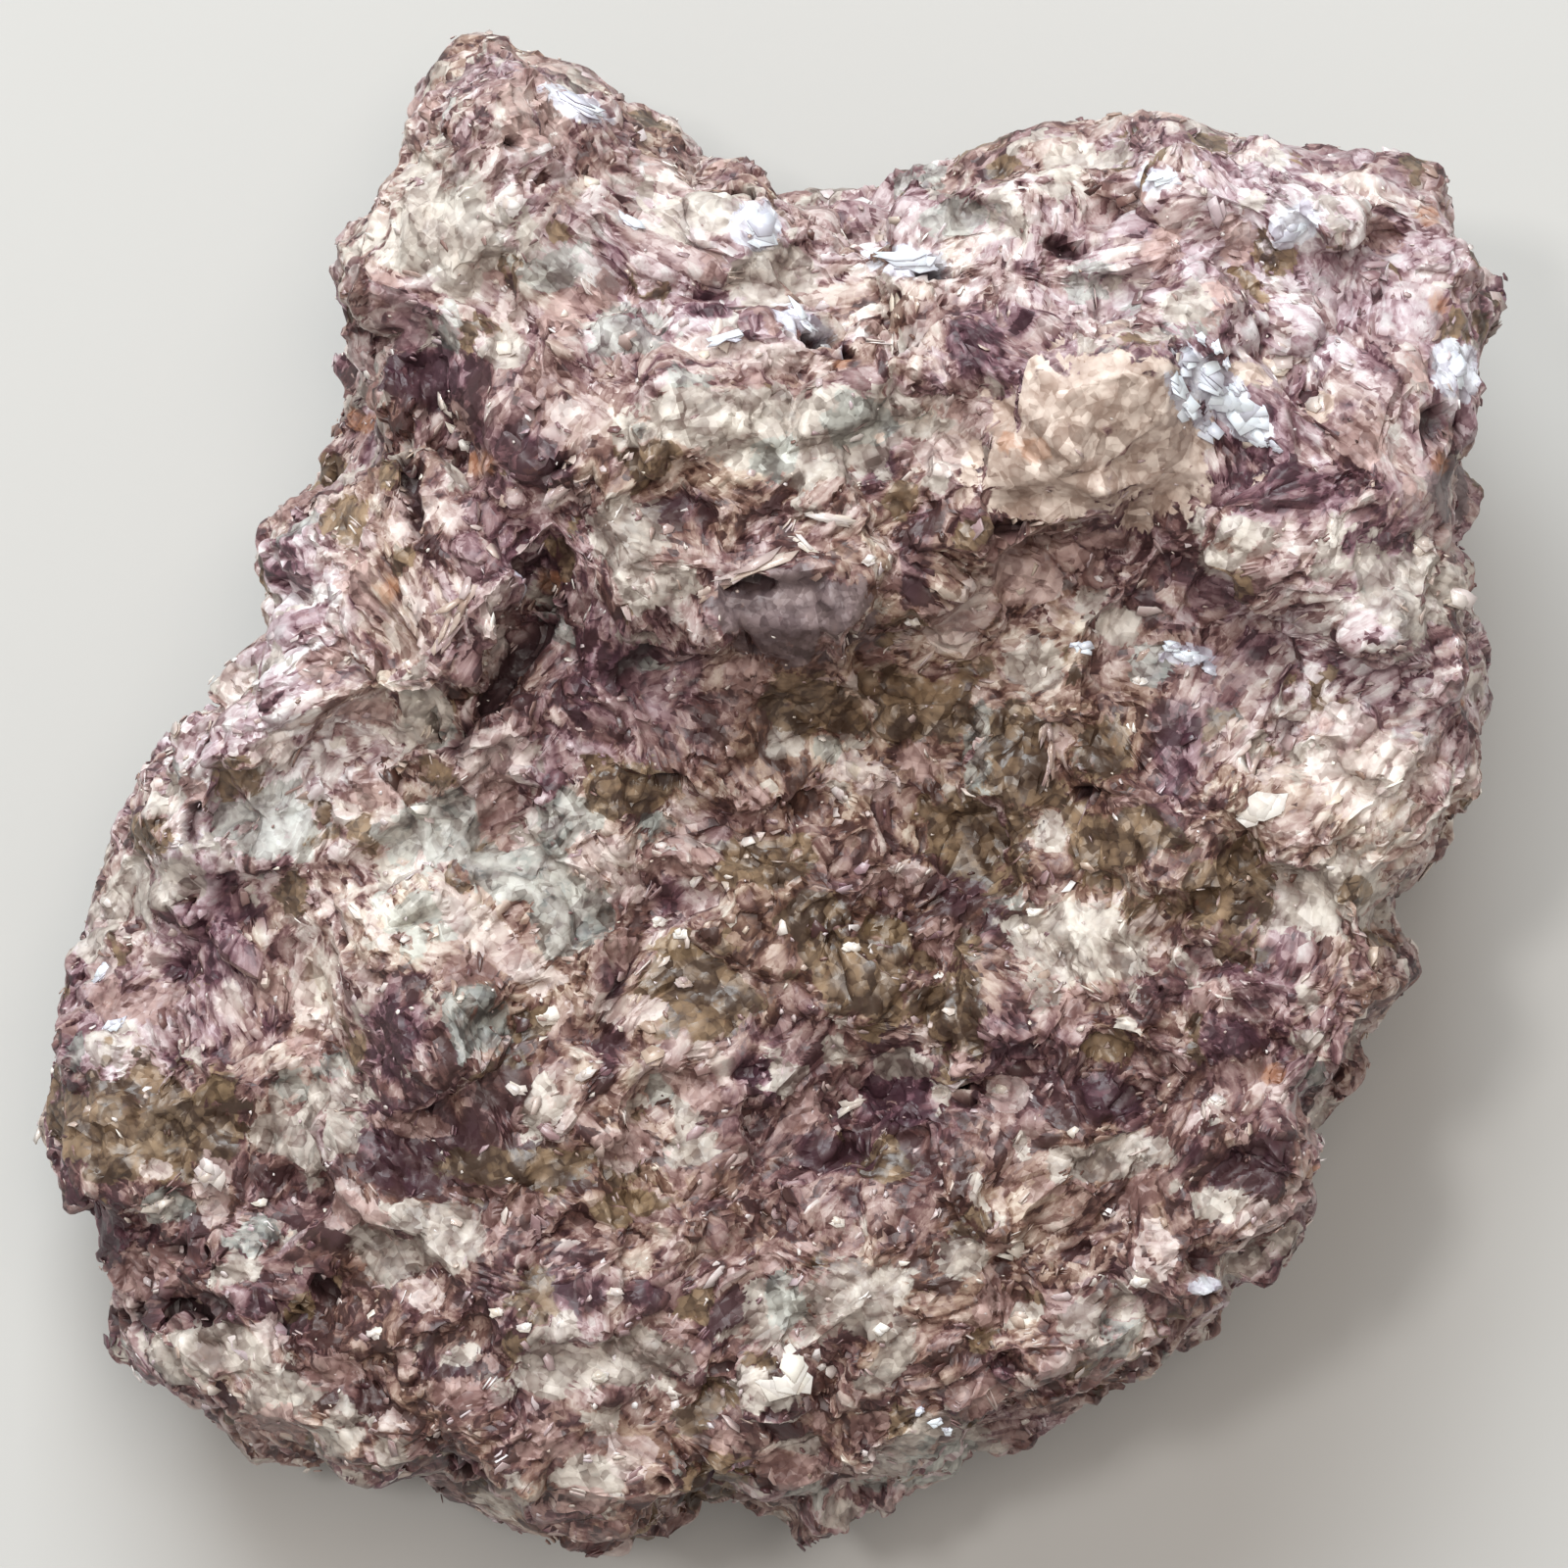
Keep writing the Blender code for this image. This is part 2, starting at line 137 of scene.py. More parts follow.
# Patches of the front: middle across and down the picture, half length, half width, turn
PATCHES: dict[Mineral, Table] = {
    Mineral.ALBITE: (
        (724, 420, 50, 30, 10), (832, 442, 105, 50, 0), (593, 76, 28, 20, 0), (440, 240, 60, 60, 0),
        (512, 359, 22, 18, 0), (163, 903, 60, 30, 10), (428, 733, 30, 28, 0),
        (1105, 965, 70, 45, 0), (1447, 598, 60, 45, 0), (1360, 915, 60, 45, 0),
        (413, 1264, 75, 40, 5), (300, 1157, 40, 22, 0), (880, 1318, 62, 44, 0),
        (785, 1338, 34, 38, 0), (700, 1170, 26, 18, 0), (948, 1485, 60, 36, 20),
        (355, 1468, 26, 16, 20), (510, 1535, 28, 20, 0), (1265, 1290, 20, 16, 0),
        (1240, 570, 20, 16, 0), (1126, 1183, 40, 22, 10), (985, 1285, 30, 24, 0),
        (610, 1395, 90, 25, 0), (870, 1550, 30, 16, 0), (632, 542, 45, 35, 0),
        (610, 1508, 30, 20, 0), (923, 1088, 30, 12, 0), (804, 759, 20, 18, 0),
        (1332, 1059, 18, 14, 0), (1213, 307, 25, 18, 0), (1084, 170, 24, 18, 0),
        (113, 1133, 12, 12, 0), (727, 219, 50, 25, 0), (790, 283, 55, 30, 0),
        (210, 1380, 70, 34, 0), (290, 1425, 40, 24, 0), (1145, 640, 30, 24, 0),
        (330, 1150, 34, 50, -20), (1060, 687, 26, 22, 0),
    ),
    Mineral.GREEN: (
        (565, 280, 35, 25, 0), (634, 336, 35, 25, 0), (880, 430, 36, 26, 0), (795, 462, 26, 20, 0),
        (264, 843, 48, 34, 0), (446, 844, 58, 40, 0), (584, 832, 40, 30, 0), (483, 1038, 33, 40, 0),
        (520, 885, 64, 28, 0), (585, 935, 44, 36, 0), (438, 935, 34, 30, 0), (847, 764, 18, 16, 0),
        (1178, 677, 22, 18, 0), (997, 790, 60, 16, 85), (971, 224, 30, 20, 0),
        (168, 1231, 24, 20, 0), (160, 1155, 30, 26, 0), (800, 1330, 20, 30, 0),
        (948, 1500, 40, 20, 20),
    ),
    Mineral.PEACH: (
        (1117, 449, 118, 84, 0), (1290, 380, 16, 10, 0), (1348, 413, 12, 10, 0),
    ),
    Mineral.QUARTZ: (
        (633, 798, 40, 26, 0), (703, 1011, 52, 58, 0), (879, 991, 50, 42, 0), (838, 937, 36, 26, 0),
        (969, 1033, 44, 34, 0), (241, 797, 30, 22, 0), (151, 853, 26, 22, 0),
        (140, 1150, 100, 50, 0), (525, 1193, 96, 20, 0), (905, 1190, 30, 18, 0),
        (1238, 908, 50, 34, 0), (1383, 908, 20, 16, 0), (1126, 769, 40, 34, 0),
        (1042, 776, 40, 50, 0), (1024, 172, 20, 14, 0), (730, 1510, 36, 26, 0),
        (930, 720, 50, 40, 0), (820, 720, 44, 30, 0), (1000, 860, 60, 44, 0),
        (1130, 860, 46, 36, 0), (780, 880, 40, 30, 0),
    ),
    Mineral.AMBER: (
        (645, 1231, 42, 15, 5), (907, 949, 20, 14, 0), (890, 1052, 16, 12, 0),
        (306, 1336, 16, 12, 0), (215, 1115, 28, 16, 0), (690, 965, 22, 18, 0),
    ),
    Mineral.PINK: (
        (748, 358, 90, 15, -7), (511, 771, 35, 30, 0), (502, 960, 95, 17, -42),
        (607, 880, 30, 24, 0), (215, 1212, 22, 38, 0), (640, 1485, 24, 18, 0),
        (976, 641, 30, 22, 0), (998, 614, 20, 16, 0), (1391, 787, 64, 50, 0), (921, 897, 24, 18, 0),
        (642, 1032, 20, 16, 0), (722, 1075, 20, 14, 0), (630, 1170, 30, 22, 0),
        (360, 1230, 24, 18, 0), (160, 1195, 20, 12, 0), (1028, 1115, 22, 16, 0),
        (1162, 1305, 16, 12, 0), (1239, 1125, 16, 12, 0), (966, 459, 24, 20, 0),
        (896, 800, 30, 18, 0), (275, 768, 26, 20, 0), (1044, 590, 30, 24, 0),
    ),
    Mineral.RED: (
        (278, 1455, 34, 22, 0), (548, 1468, 32, 20, 0), (505, 820, 24, 34, 0),
        (360, 1230, 26, 16, -30), (706, 1107, 34, 20, -35), (720, 1555, 34, 16, 0),
        (1044, 590, 44, 30, 0), (150, 1300, 30, 40, 60), (420, 1148, 60, 14, -8),
        (640, 1170, 30, 16, 0), (340, 1400, 40, 20, 0), (1060, 560, 50, 16, 0),
        (905, 905, 26, 18, 0), (1170, 1215, 30, 14, 40), (590, 1530, 30, 16, 0),
        (542, 112, 50, 34, 90), (790, 1500, 30, 18, 0), (470, 1420, 30, 16, 0),
        (1000, 1425, 34, 18, 0),
    ),
    Mineral.PURPLE: (
        (992, 342, 26, 38, 0), (1238, 400, 84, 32, -46), (1170, 380, 40, 14, -50),
        (1278, 505, 50, 26, 0), (298, 586, 18, 16, 0), (217, 927, 46, 40, 0), (224, 981, 36, 30, 0),
        (411, 1167, 58, 42, 0), (916, 1122, 36, 40, 0), (1127, 1119, 30, 22, 0),
        (1254, 1060, 26, 20, 0), (1270, 1188, 50, 28, 0), (102, 1275, 28, 40, 0),
        (450, 1395, 26, 18, 0), (590, 1320, 22, 14, 0), (653, 1320, 18, 12, 0),
        (1010, 1400, 30, 18, 0), (681, 913, 18, 18, 0), (977, 916, 24, 20, 0),
        (1022, 943, 24, 20, 0), (727, 309, 26, 14, 0), (900, 470, 40, 12, 80),
        (931, 577, 50, 12, 80), (763, 1089, 18, 14, 0), (282, 1042, 18, 14, 0),
        (626, 1033, 60, 12, 90), (1043, 273, 14, 12, 0), (430, 385, 40, 24, 0),
        (540, 470, 50, 24, -30), (1350, 500, 40, 20, 10), (1420, 560, 30, 24, 0),
        (690, 520, 40, 14, 10), (1200, 760, 24, 50, 0), (400, 1050, 30, 40, 0),
        (860, 1180, 50, 20, 0), (1180, 1010, 40, 26, 0), (1330, 1300, 30, 30, 0),
    ),
    # silver patches: pale silvery mica, with a painted bluish reflection of the window light
    Mineral.SILVER: (
        (1247, 402, 66, 20, -47), (1211, 410, 36, 9, -55), (771, 231, 25, 25, 0),
        (588, 107, 40, 14, -30), (1181, 184, 20, 12, 0), (1321, 231, 30, 20, 35),
        (1484, 379, 24, 30, 0), (926, 268, 44, 16, -7), (1213, 669, 25, 10, 0),
        (1231, 1315, 20, 12, 0), (820, 330, 40, 14, -30),
    ),
    Mineral.LENS: (
        (806, 628, 88, 46, -4), (1478, 500, 20, 34, 0),
    ),
    Mineral.STAIN: (
        (365, 431, 16, 12, 0), (392, 602, 14, 12, 0), (495, 474, 12, 10, 0), (564, 594, 14, 12, 0),
        (1302, 1097, 14, 12, 0), (1343, 1198, 12, 10, 0), (1458, 217, 12, 10, 0),
        (1468, 309, 12, 12, 0), (1468, 474, 12, 12, 0), (859, 372, 10, 8, 0),
        (1053, 458, 12, 10, 0), (1028, 449, 10, 10, 0),
    ),
    # pits and cracks: their near-black colour and darker mica are painted shade
    Mineral.HOLE: (
        (1470, 436, 11, 15, 0), (749, 194, 22, 5, -12), (849, 357, 20, 6, -20),
        (950, 277, 18, 6, 0), (1087, 252, 12, 7, -30), (528, 673, 86, 11, 54),
        (466, 742, 22, 10, 30), (420, 505, 8, 50, 5), (986, 1116, 13, 11, 0),
        (332, 1318, 20, 11, -40), (300, 1348, 13, 7, 30), (167, 1342, 52, 13, 8),
        (471, 1500, 12, 10, 0), (676, 1514, 7, 7, 0), (754, 598, 22, 7, 0), (1043, 542, 24, 7, 0),
        (1106, 810, 14, 10, 0), (651, 680, 26, 8, 30), (200, 838, 11, 15, 0), (569, 477, 24, 8, 40),
        (524, 147, 12, 6, 40), (687, 800, 13, 5, 0), (1270, 1322, 36, 7, 12), (200, 1277, 34, 7, 0),
    ),
}

# Where mica books stand on edge, and the way their edges run: middle, half sizes, direction
STREAKS: Table = (
    (290, 720, 80, 95, 40), (505, 620, 62, 112, 60), (900, 523, 34, 70, 80),
    (655, 265, 160, 74, -25), (1384, 1047, 46, 74, 67), (1086, 325, 42, 42, -60),
    (626, 1033, 22, 66, 90), (857, 535, 56, 30, 25), (1240, 1190, 56, 44, 50),
    (1417, 666, 66, 36, 20), (217, 950, 52, 62, 105), (107, 990, 44, 64, 30),
    (1150, 1205, 90, 60, 47), (830, 1140, 54, 58, 60), (411, 1167, 60, 44, -12),
    (460, 440, 60, 70, 70), (1330, 300, 90, 60, -35), (1300, 640, 80, 60, 30),
)

# Loose bright flakes lying face up: middle, half length, half width, turn, tone. A tone near 1
# is partly the flakes' own pale colour and partly a painted glint.
FLAKES: Table = (
    (805, 1408, 29, 27, 20, 1.0), (1290, 826, 26, 21, 0, 1.0), (558, 1040, 22, 12, 10, 0.95),
    (1032, 1270, 17, 14, 0, 0.95), (595, 1100, 12, 6, 30, 0.9), (527, 1110, 12, 6, -20, 0.9),
    (385, 1361, 9, 8, 0, 0.95), (536, 1353, 9, 6, 20, 0.9), (508, 1340, 8, 6, 0, 0.9),
    (625, 1320, 9, 6, 0, 0.9), (610, 1403, 10, 7, 0, 0.9), (896, 1359, 8, 6, 0, 0.95),
    (852, 1251, 8, 6, 0, 0.95), (838, 1395, 8, 6, 0, 0.95), (868, 1128, 18, 6, 20, 0.8),
    (1159, 697, 9, 7, 0, 0.95), (932, 631, 9, 6, 0, 0.95), (888, 572, 8, 6, 0, 0.95),
    (670, 940, 8, 6, 0, 1.0), (696, 954, 8, 6, 0, 1.0), (710, 900, 14, 4, 60, 0.9),
    (867, 968, 9, 6, 0, 1.0), (1054, 929, 9, 6, 0, 1.0), (1046, 949, 8, 6, 0, 0.95),
    (959, 997, 8, 6, 0, 0.95), (268, 1226, 9, 5, 0, 0.95), (30, 1160, 12, 5, 60, 0.9),
    (455, 412, 15, 6, -62, 0.85), (470, 446, 20, 6, -50, 0.9), (773, 582, 38, 8, 20, 0.66),
    (735, 596, 30, 7, 30, 0.6), (475, 613, 36, 8, 62, 0.62), (455, 650, 26, 6, 60, 0.6),
    (1073, 780, 30, 4, 88, 0.6), (1068, 740, 22, 5, 84, 0.66), (1276, 787, 40, 5, 70, 0.6),
    (1239, 1125, 10, 8, 0, 0.9), (1162, 1305, 10, 8, 0, 0.9), (305, 1490, 9, 5, 0, 0.85),
    (410, 1503, 14, 6, 0, 0.75), (524, 209, 13, 12, 0, 0.85), (1486, 610, 24, 10, -40, 0.8),
    (1460, 434, 5, 5, 0, 1.0), (570, 500, 30, 7, 60, 0.66), (1300, 374, 19, 13, 40, 0.8),
    (1348, 412, 15, 13, 0, 0.75), (512, 359, 16, 12, 0, 0.85), (1028, 1115, 16, 10, 0, 0.85),
    (1447, 560, 14, 9, 0, 0.8), (160, 1230, 14, 10, 0, 0.8), (215, 1190, 14, 18, 0, 0.85),
    (842, 525, 26, 6, -20, 0.8), (822, 560, 30, 5, -28, 0.85), (700, 1000, 10, 6, 0, 0.7),
)

# Bluish-white plates of mica that lie face up, in the same measures. Their white is the
# mica's silvery colour, and their blue a painted reflection of the cool window light.
SILVER_PLATES: Table = (
    (1206, 357, 24, 16, -46), (1226, 379, 26, 17, -48), (1246, 400, 25, 17, -46),
    (1266, 421, 26, 17, -48), (1286, 444, 24, 15, -44), (1196, 390, 20, 11, -55),
    (1212, 412, 21, 11, -55), (1230, 434, 18, 10, -55), (1226, 345, 9, 5, -40),
    (1240, 356, 9, 5, -50), (1251, 369, 8, 4, -60), (1266, 397, 10, 6, -50),
    (1302, 457, 10, 7, -30), (771, 231, 30, 22, -20), (588, 107, 30, 8, -30),
    (1181, 184, 16, 8, 10), (1321, 231, 24, 14, 35), (1484, 379, 16, 22, 0),
    (1213, 669, 18, 9, -25), (1196, 660, 10, 6, -25), (1232, 681, 10, 7, -30),
    (1102, 658, 14, 7, 0), (926, 268, 38, 10, -7), (955, 1448, 9, 6, 0), (940, 1440, 6, 4, 30),
    (968, 1458, 6, 5, 0), (1231, 1315, 10, 5, 0), (820, 326, 22, 6, -42), (848, 352, 14, 6, -40),
    (740, 345, 24, 5, -5), (116, 1046, 16, 6, 30), (107, 990, 14, 8, 40), (640, 230, 22, 7, -25),
)

# Broad areas of the front: middle, half sizes, turn, change of tone, change of warmth.
# They hold the mica's own lighter and darker areas and also painted light: the top is drawn
# lighter and the lower part darker as light falls from above, and the shadow under the brow
# is lightened away.
LIGHT_AND_TONE_AREAS: Table = (
    (542, 112, 40, 50, 0, 0.16, 0.1), (475, 190, 150, 140, 0, 0.13, 0.1),
    (730, 270, 190, 75, -10, 0.15, -0.3), (1220, 250, 300, 105, 0, 0.23, -0.2),
    (1410, 600, 130, 280, 0, 0.19, -0.1), (420, 385, 70, 95, 60, -0.15, -0.15),
    (650, 490, 160, 70, 0, -0.02, 0.2), (960, 800, 200, 160, 0, -0.09, 0.45),
    (860, 990, 150, 90, 0, -0.1, 0.45), (260, 700, 170, 150, 40, 0.24, -0.3),
    (310, 900, 140, 170, 0, 0.2, 0), (150, 985, 110, 110, 0, 0.1, -0.3),
    (500, 930, 130, 130, 0, 0, 0.2), (990, 1120, 210, 80, 0, -0.1, -0.1),
    (475, 1180, 140, 60, 0, -0.12, 0.1), (800, 1350, 230, 70, 0, 0.08, 0),
    (1270, 1120, 140, 150, 0, -0.03, -0.2), (560, 1500, 330, 70, -10, -0.05, 0.2),
    (215, 1385, 100, 45, 10, 0.12, 0.1), (400, 1265, 110, 55, 0, 0.1, 0.1),
    (620, 1330, 480, 190, 0, -0.17, 0.28), (330, 1180, 260, 160, 0, -0.1, 0),
    (1180, 1180, 260, 200, 0, -0.05, 0.15), (483, 1038, 36, 42, 0, -0.2, 0),
    (1010, 640, 170, 55, 0, 0.1, 0.15), (1130, 960, 110, 90, 0, -0.03, 0.15),
    (1130, 560, 150, 60, 0, -0.04, 0.1), (540, 700, 150, 100, 60, -0.06, -0.1),
    (1330, 880, 120, 90, 0, 0, 0.1),
)


# Numbers that repeat from run to run

CORNERS = np.array(list(product((0, 1), repeat=3)))
NEIGHBOURS = np.array(list(product((-1, 0, 1), repeat=3)))
LATTICE_FACTORS = np.array([73856093, 19349663, 83492791], np.uint64)
STIR = (np.uint64(0xFF51AFD7ED558CCD), np.uint64(0xC4CEB9FE1A85EC53))
SALT_FACTOR = 2654435761
STIR_SHIFT = np.uint64(33)
CODE_BITS = 64
FRACTION_BITS = 53


def mixed(cells: Array, salt: int) -> Array:
    """Random numbers from 0 to 1 that depend only on a lattice place.

    Each coordinate is multiplied by its own large number, the three are joined by exclusive
    or, and the bits are stirred twice.

    Args:
        cells: lattice places, one row of three whole numbers each.
        salt: number that tells one use of the lattice from another.

    Returns:
        One number for each row.
    """
    code = cells.astype(np.int64).astype(np.uint64) * LATTICE_FACTORS
    code = code[:, 0] ^ code[:, 1] ^ code[:, 2] ^ np.uint64(salt * SALT_FACTOR)
    for factor in STIR:
        code = (code ^ (code >> STIR_SHIFT)) * factor
    code = code ^ (code >> STIR_SHIFT)
    return (code >> np.uint64(CODE_BITS - FRACTION_BITS)).astype(float) / float(1 << FRACTION_BITS)


def mixed_vectors(cells: Array, salt: int) -> Array:
    """Three random numbers from 0 to 1 for each lattice place."""
    return np.column_stack([mixed(cells, 3 * salt + axis) for axis in range(3)])


def soft_noise(points: Array, size: float, salt: int) -> Array:
    """Smooth noise from -1 to 1 whose features are about size across.

    Random numbers at the eight corners of a point's lattice cell are blended by smoothstep
    weights, w = t * t * (3 - 2 * t) along each axis.

    Args:
        points: places, one row each.
        size: edge of a lattice cell.
        salt: number that tells one noise from another.

    Returns:
        One value for each point.
    """
    scaled = points / size
    base = np.floor(scaled)
    part = scaled - base
    part = part * part * (3 - 2 * part)
    total = np.zeros(len(points))
    for corner in CORNERS:
        weight = np.prod(np.where(corner == 1, part, 1 - part), axis=1)
        total += weight * mixed(base + corner, salt)
    return 2 * total - 1


@dataclass(frozen=True)
class Grains:
    """The grain that each of many points belongs to, one row for each point.

    seed is the grain's middle, code its lattice cell, and border how much further the next
    grain's middle is than this one's, in lattice cells: 0 on the border between the two.
    """

    seed: Array
    code: Array
    border: Array

    def random(self, salt: int) -> Array:
        """A value of each grain's own from -1 to 1."""
        return 2 * mixed(self.code, salt) - 1

    def vectors(self, salt: int) -> Array:
        """Three values of each grain's own from -1 to 1."""
        return 2 * mixed_vectors(self.code, salt) - 1


def grain_cells(points: Array, size: float, salt: int) -> Grains:
    """The grains that points belong to, when grains about size across fill all of space.

    Every lattice cell holds one seed at a random place in it, and a point belongs to the
    nearest seed of its own cell and the 26 around it.

    Args:
        points: places, one row each.
        size: edge of a lattice cell.
        salt: number that tells one set of grains from another.

    Returns:
        The points' grains.
    """
    base = np.floor(points / size)
    nearest = np.full(len(points), np.inf)
    second = nearest.copy()
    seeds = np.zeros_like(points)
    owners = np.zeros_like(points)
    for step in NEIGHBOURS:
        cell = base + step
        seed = (cell + mixed_vectors(cell, salt)) * size
        distance = np.linalg.norm(points - seed, axis=1)
        second = np.minimum(second, np.maximum(nearest, distance))
        closer = distance < nearest
        nearest[closer] = distance[closer]
        seeds[closer] = seed[closer]
        owners[closer] = cell[closer]
    return Grains(seeds, owners, (second - nearest) / size)


def unit(vectors: Array) -> Array:
    """The vectors at length 1."""
    length = np.linalg.norm(vectors, axis=-1, keepdims=True)
    return vectors / np.maximum(length, TINY)


def smooth_step(low: float, high: float, value: Array) -> Array:
    """From 0 at low to 1 at high along t * t * (3 - 2 * t)."""
    part = np.clip((value - low) / (high - low), 0, 1)
    return part * part * (3 - 2 * part)


# The viewpoint


@dataclass(frozen=True)
class Viewpoint:
    """The camera straight above the stone, and the plane that picture places are given on."""

    x: float = 0.97
    y: float = 0.62
    height: float = 320.0
    plane: float = 12.0
    plane_width: float = 66.08
    pixels: float = 1600.0
    sensor: float = 36.0
    near: float = 10.0

    @property
    def pixel(self) -> float:
        """Millimetres of the plane that one picture unit covers."""
        return self.plane_width / self.pixels

    def to_plane(self, points: Array) -> Array:
        """Where points are seen on the plane: x' = cx + (x - cx) * (h - plane) / (h - z).

        Args:
            points: places, one row each.

        Returns:
            Two coordinates on the plane for each point.
        """
        middle = np.array([self.x, self.y])
        scale = (self.height - self.plane) / (self.height - points[:, 2:3])
        return middle + (points[:, :2] - middle) * scale

    def place(self, across: float, down: float) -> Array:
        """The plane's point under a place in the picture.

        Args:
            across: the place's distance from the picture's left edge.
            down: its distance from the top edge.

        Returns:
            The point's two coordinates.
        """
        half = self.pixels / 2
        step_right = (across - half) * self.pixel
        step_up = (half - down) * self.pixel
        return np.array([self.x + step_right, self.y + step_up])

    def camera(self) -> bpy.types.Object:
        """The camera, which frames the plane's width exactly.

        Returns:
            The camera's object.
        """
        data = bpy.data.cameras.new("camera")
        data.sensor_width = self.sensor
        data.lens = self.sensor * (self.height - self.plane) / self.plane_width
        data.clip_start = self.near * MM
        camera = bpy.data.objects.new("camera", data)
        camera.location = (self.x * MM, self.y * MM, self.height * MM)
        bpy.context.scene.collection.objects.link(camera)
        return camera


# Surfaces

JOIN_DIGITS = 4  # decimals of a millimetre to which equal corners agree
TRIES = 5  # random places drawn for each kept one, so that hardly a grain stays empty


@dataclass
class Surface:
    """A closed mesh of triangles, with its points in millimetres.

    outward holds the normals of the smooth form under the points, where there is one.
    """

    points: Array
    triangles: Array
    outward: Array | None = None

    @classmethod
    def of_node(cls, node: bpy.types.Object) -> "Surface":
        """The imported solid's mesh with its loose triangles joined.

        Args:
            node: the solid's object, whose triangles share no corners yet.

        Returns:
            The same surface with equal corners made one.
        """
        mesh = node.data
        corners = np.empty(len(mesh.vertices) * 3, np.float32)
        mesh.vertices.foreach_get("co", corners)
        owners = np.empty(len(mesh.loops), np.int32)
        mesh.loops.foreach_get("vertex_index", owners)
        rounded = np.round(corners.reshape(-1, 3).astype(float) / MM, JOIN_DIGITS)
        points, joined = np.unique(rounded, axis=0, return_inverse=True)
        return cls(points, joined.reshape(-1)[owners].reshape(-1, 3))

    def crosses(self) -> Array:
        """Each triangle's normal, as long as twice its area."""
        a, b, c = (self.points[self.triangles[:, i]] for i in range(3))
        return np.cross(b - a, c - a)

    def normals(self) -> Array:
        """Unit normals of the points, each the sum of its triangles' normals.

        Returns:
            One row for each point.
        """
        crosses = self.crosses()
        total = np.zeros_like(self.points)
        for corner in range(3):
            np.add.at(total, self.triangles[:, corner], crosses)
        return unit(total)

    def edges(self) -> Array:
        """Both ends of each triangle's three edges, the lower number first."""
        return np.sort(self.triangles[:, [[0, 1], [1, 2], [2, 0]]].reshape(-1, 2), axis=1)

    def halved(self) -> "Surface":
        """The same surface with each triangle split into four at the middles of its edges.

        Returns:
            The finer surface.
        """
        pairs, numbers = np.unique(self.edges(), axis=0, return_inverse=True)
        middles = self.points[pairs].mean(axis=1)
        ab, bc, ca = (numbers.reshape(-1, 3) + len(self.points)).T
        a, b, c = self.triangles.T
        parts = [(a, ab, ca), (ab, b, bc), (ca, bc, c), (ab, bc, ca)]
        triangles = np.concatenate([np.column_stack(part) for part in parts])
        return Surface(np.concatenate([self.points, middles]), triangles)

    def relaxed(self, share: float, rounds: int) -> "Surface":
        """The surface with each point drawn towards the mean of its neighbours.

        Args:
            share: part of the way that a point goes in a round.
            rounds: how often it goes.

        Returns:
            The smoother surface.
        """
        edges = np.unique(self.edges(), axis=0)
        both = np.concatenate([edges, edges[:, ::-1]])
        count = np.bincount(both[:, 0], minlength=len(self.points))[:, None]
        points = self.points
        for _ in range(rounds):
            total = np.zeros_like(points)
            np.add.at(total, both[:, 0], points[both[:, 1]])
            points = points + share * (total / count - points)
        return Surface(points, self.triangles)

    def scattered(self, gap: float, salt: int, draw: np.random.Generator) -> tuple[Array, Array]:
        """Places spread evenly over the surface.

        Many places are drawn at random by area, and the first in each grain of space is kept.

        Args:
            gap: usual distance between neighbours.
            salt: number that tells one set of grains from another.
            draw: source of the random numbers.

        Returns:
            The places and the smooth form's unit normals there.
        """
        areas = np.linalg.norm(self.crosses(), axis=1) / 2
        count = int(areas.sum() / gap**2 * TRIES)
        chosen = draw.choice(len(areas), count, p=areas / areas.sum())
        first, second = draw.random((2, count, 1))
        turned = first + second > 1
        first, second = np.where(turned, 1 - first, first), np.where(turned, 1 - second, second)
        corners = self.points[self.triangles[chosen]]
        span_b, span_c = corners[:, 1] - corners[:, 0], corners[:, 2] - corners[:, 0]
        places = corners[:, 0] + first * span_b + second * span_c
        bends = self.outward[self.triangles[chosen]]
        normals = bends[:, 0] * (1 - first - second) + bends[:, 1] * first + bends[:, 2] * second
        owners = grain_cells(places, gap, salt).code.astype(int)
        kept = np.sort(np.unique(owners, axis=0, return_index=True)[1])
        return places[kept], unit(normals[kept])


def write_mesh(name: str, points: Array, loops: Array, starts: Array) -> bpy.types.Mesh:
    """A Blender mesh from whole arrays.

    Args:
        name: the mesh's name.
        points: corner places in millimetres.
        loops: corner numbers of all faces, one face after another.
        starts: where each face begins in loops.

    Returns:
        The mesh in metres.
    """
    mesh = bpy.data.meshes.new(name)
    mesh.vertices.add(len(points))
    mesh.vertices.foreach_set("co", (points * MM).astype(np.float32).ravel())
    mesh.loops.add(len(loops))
    mesh.loops.foreach_set("vertex_index", loops.astype(np.int32).ravel())
    mesh.polygons.add(len(starts))
    mesh.polygons.foreach_set("loop_start", starts.astype(np.int32))
    mesh.update(calc_edges=True)
    return mesh


def write_attribute(mesh: bpy.types.Mesh, name: str, domain: str, values: Array) -> None:
    """Store one number for each point or face of a mesh."""
    mesh.attributes.new(name, "FLOAT", domain).data.foreach_set("value", values.astype(np.float32))


def write_vectors(mesh: bpy.types.Mesh, name: str, domain: str, values: Array) -> None:
    """Store three numbers for each point or face corner of a mesh."""
    made = mesh.attributes.new(name, "FLOAT_VECTOR", domain)
    made.data.foreach_set("vector", values.astype(np.float32).ravel())


def add_piece(name: str, mesh: bpy.types.Mesh, material: bpy.types.Material) -> bpy.types.Object:
    """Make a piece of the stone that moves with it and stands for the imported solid.

    Args:
        name: the piece's name.
        mesh: its mesh.
        material: its material.

    Returns:
        The piece.
    """
    mesh.name = name
    mesh.materials.append(material)
    piece = bpy.data.objects.new(name, mesh)
    bpy.context.scene.collection.objects.link(piece)
    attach(piece, "root")
    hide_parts(NODE)
    log.info("%s: %d points, %d faces", name, len(mesh.vertices), len(mesh.polygons))
    return piece


# Where the minerals are

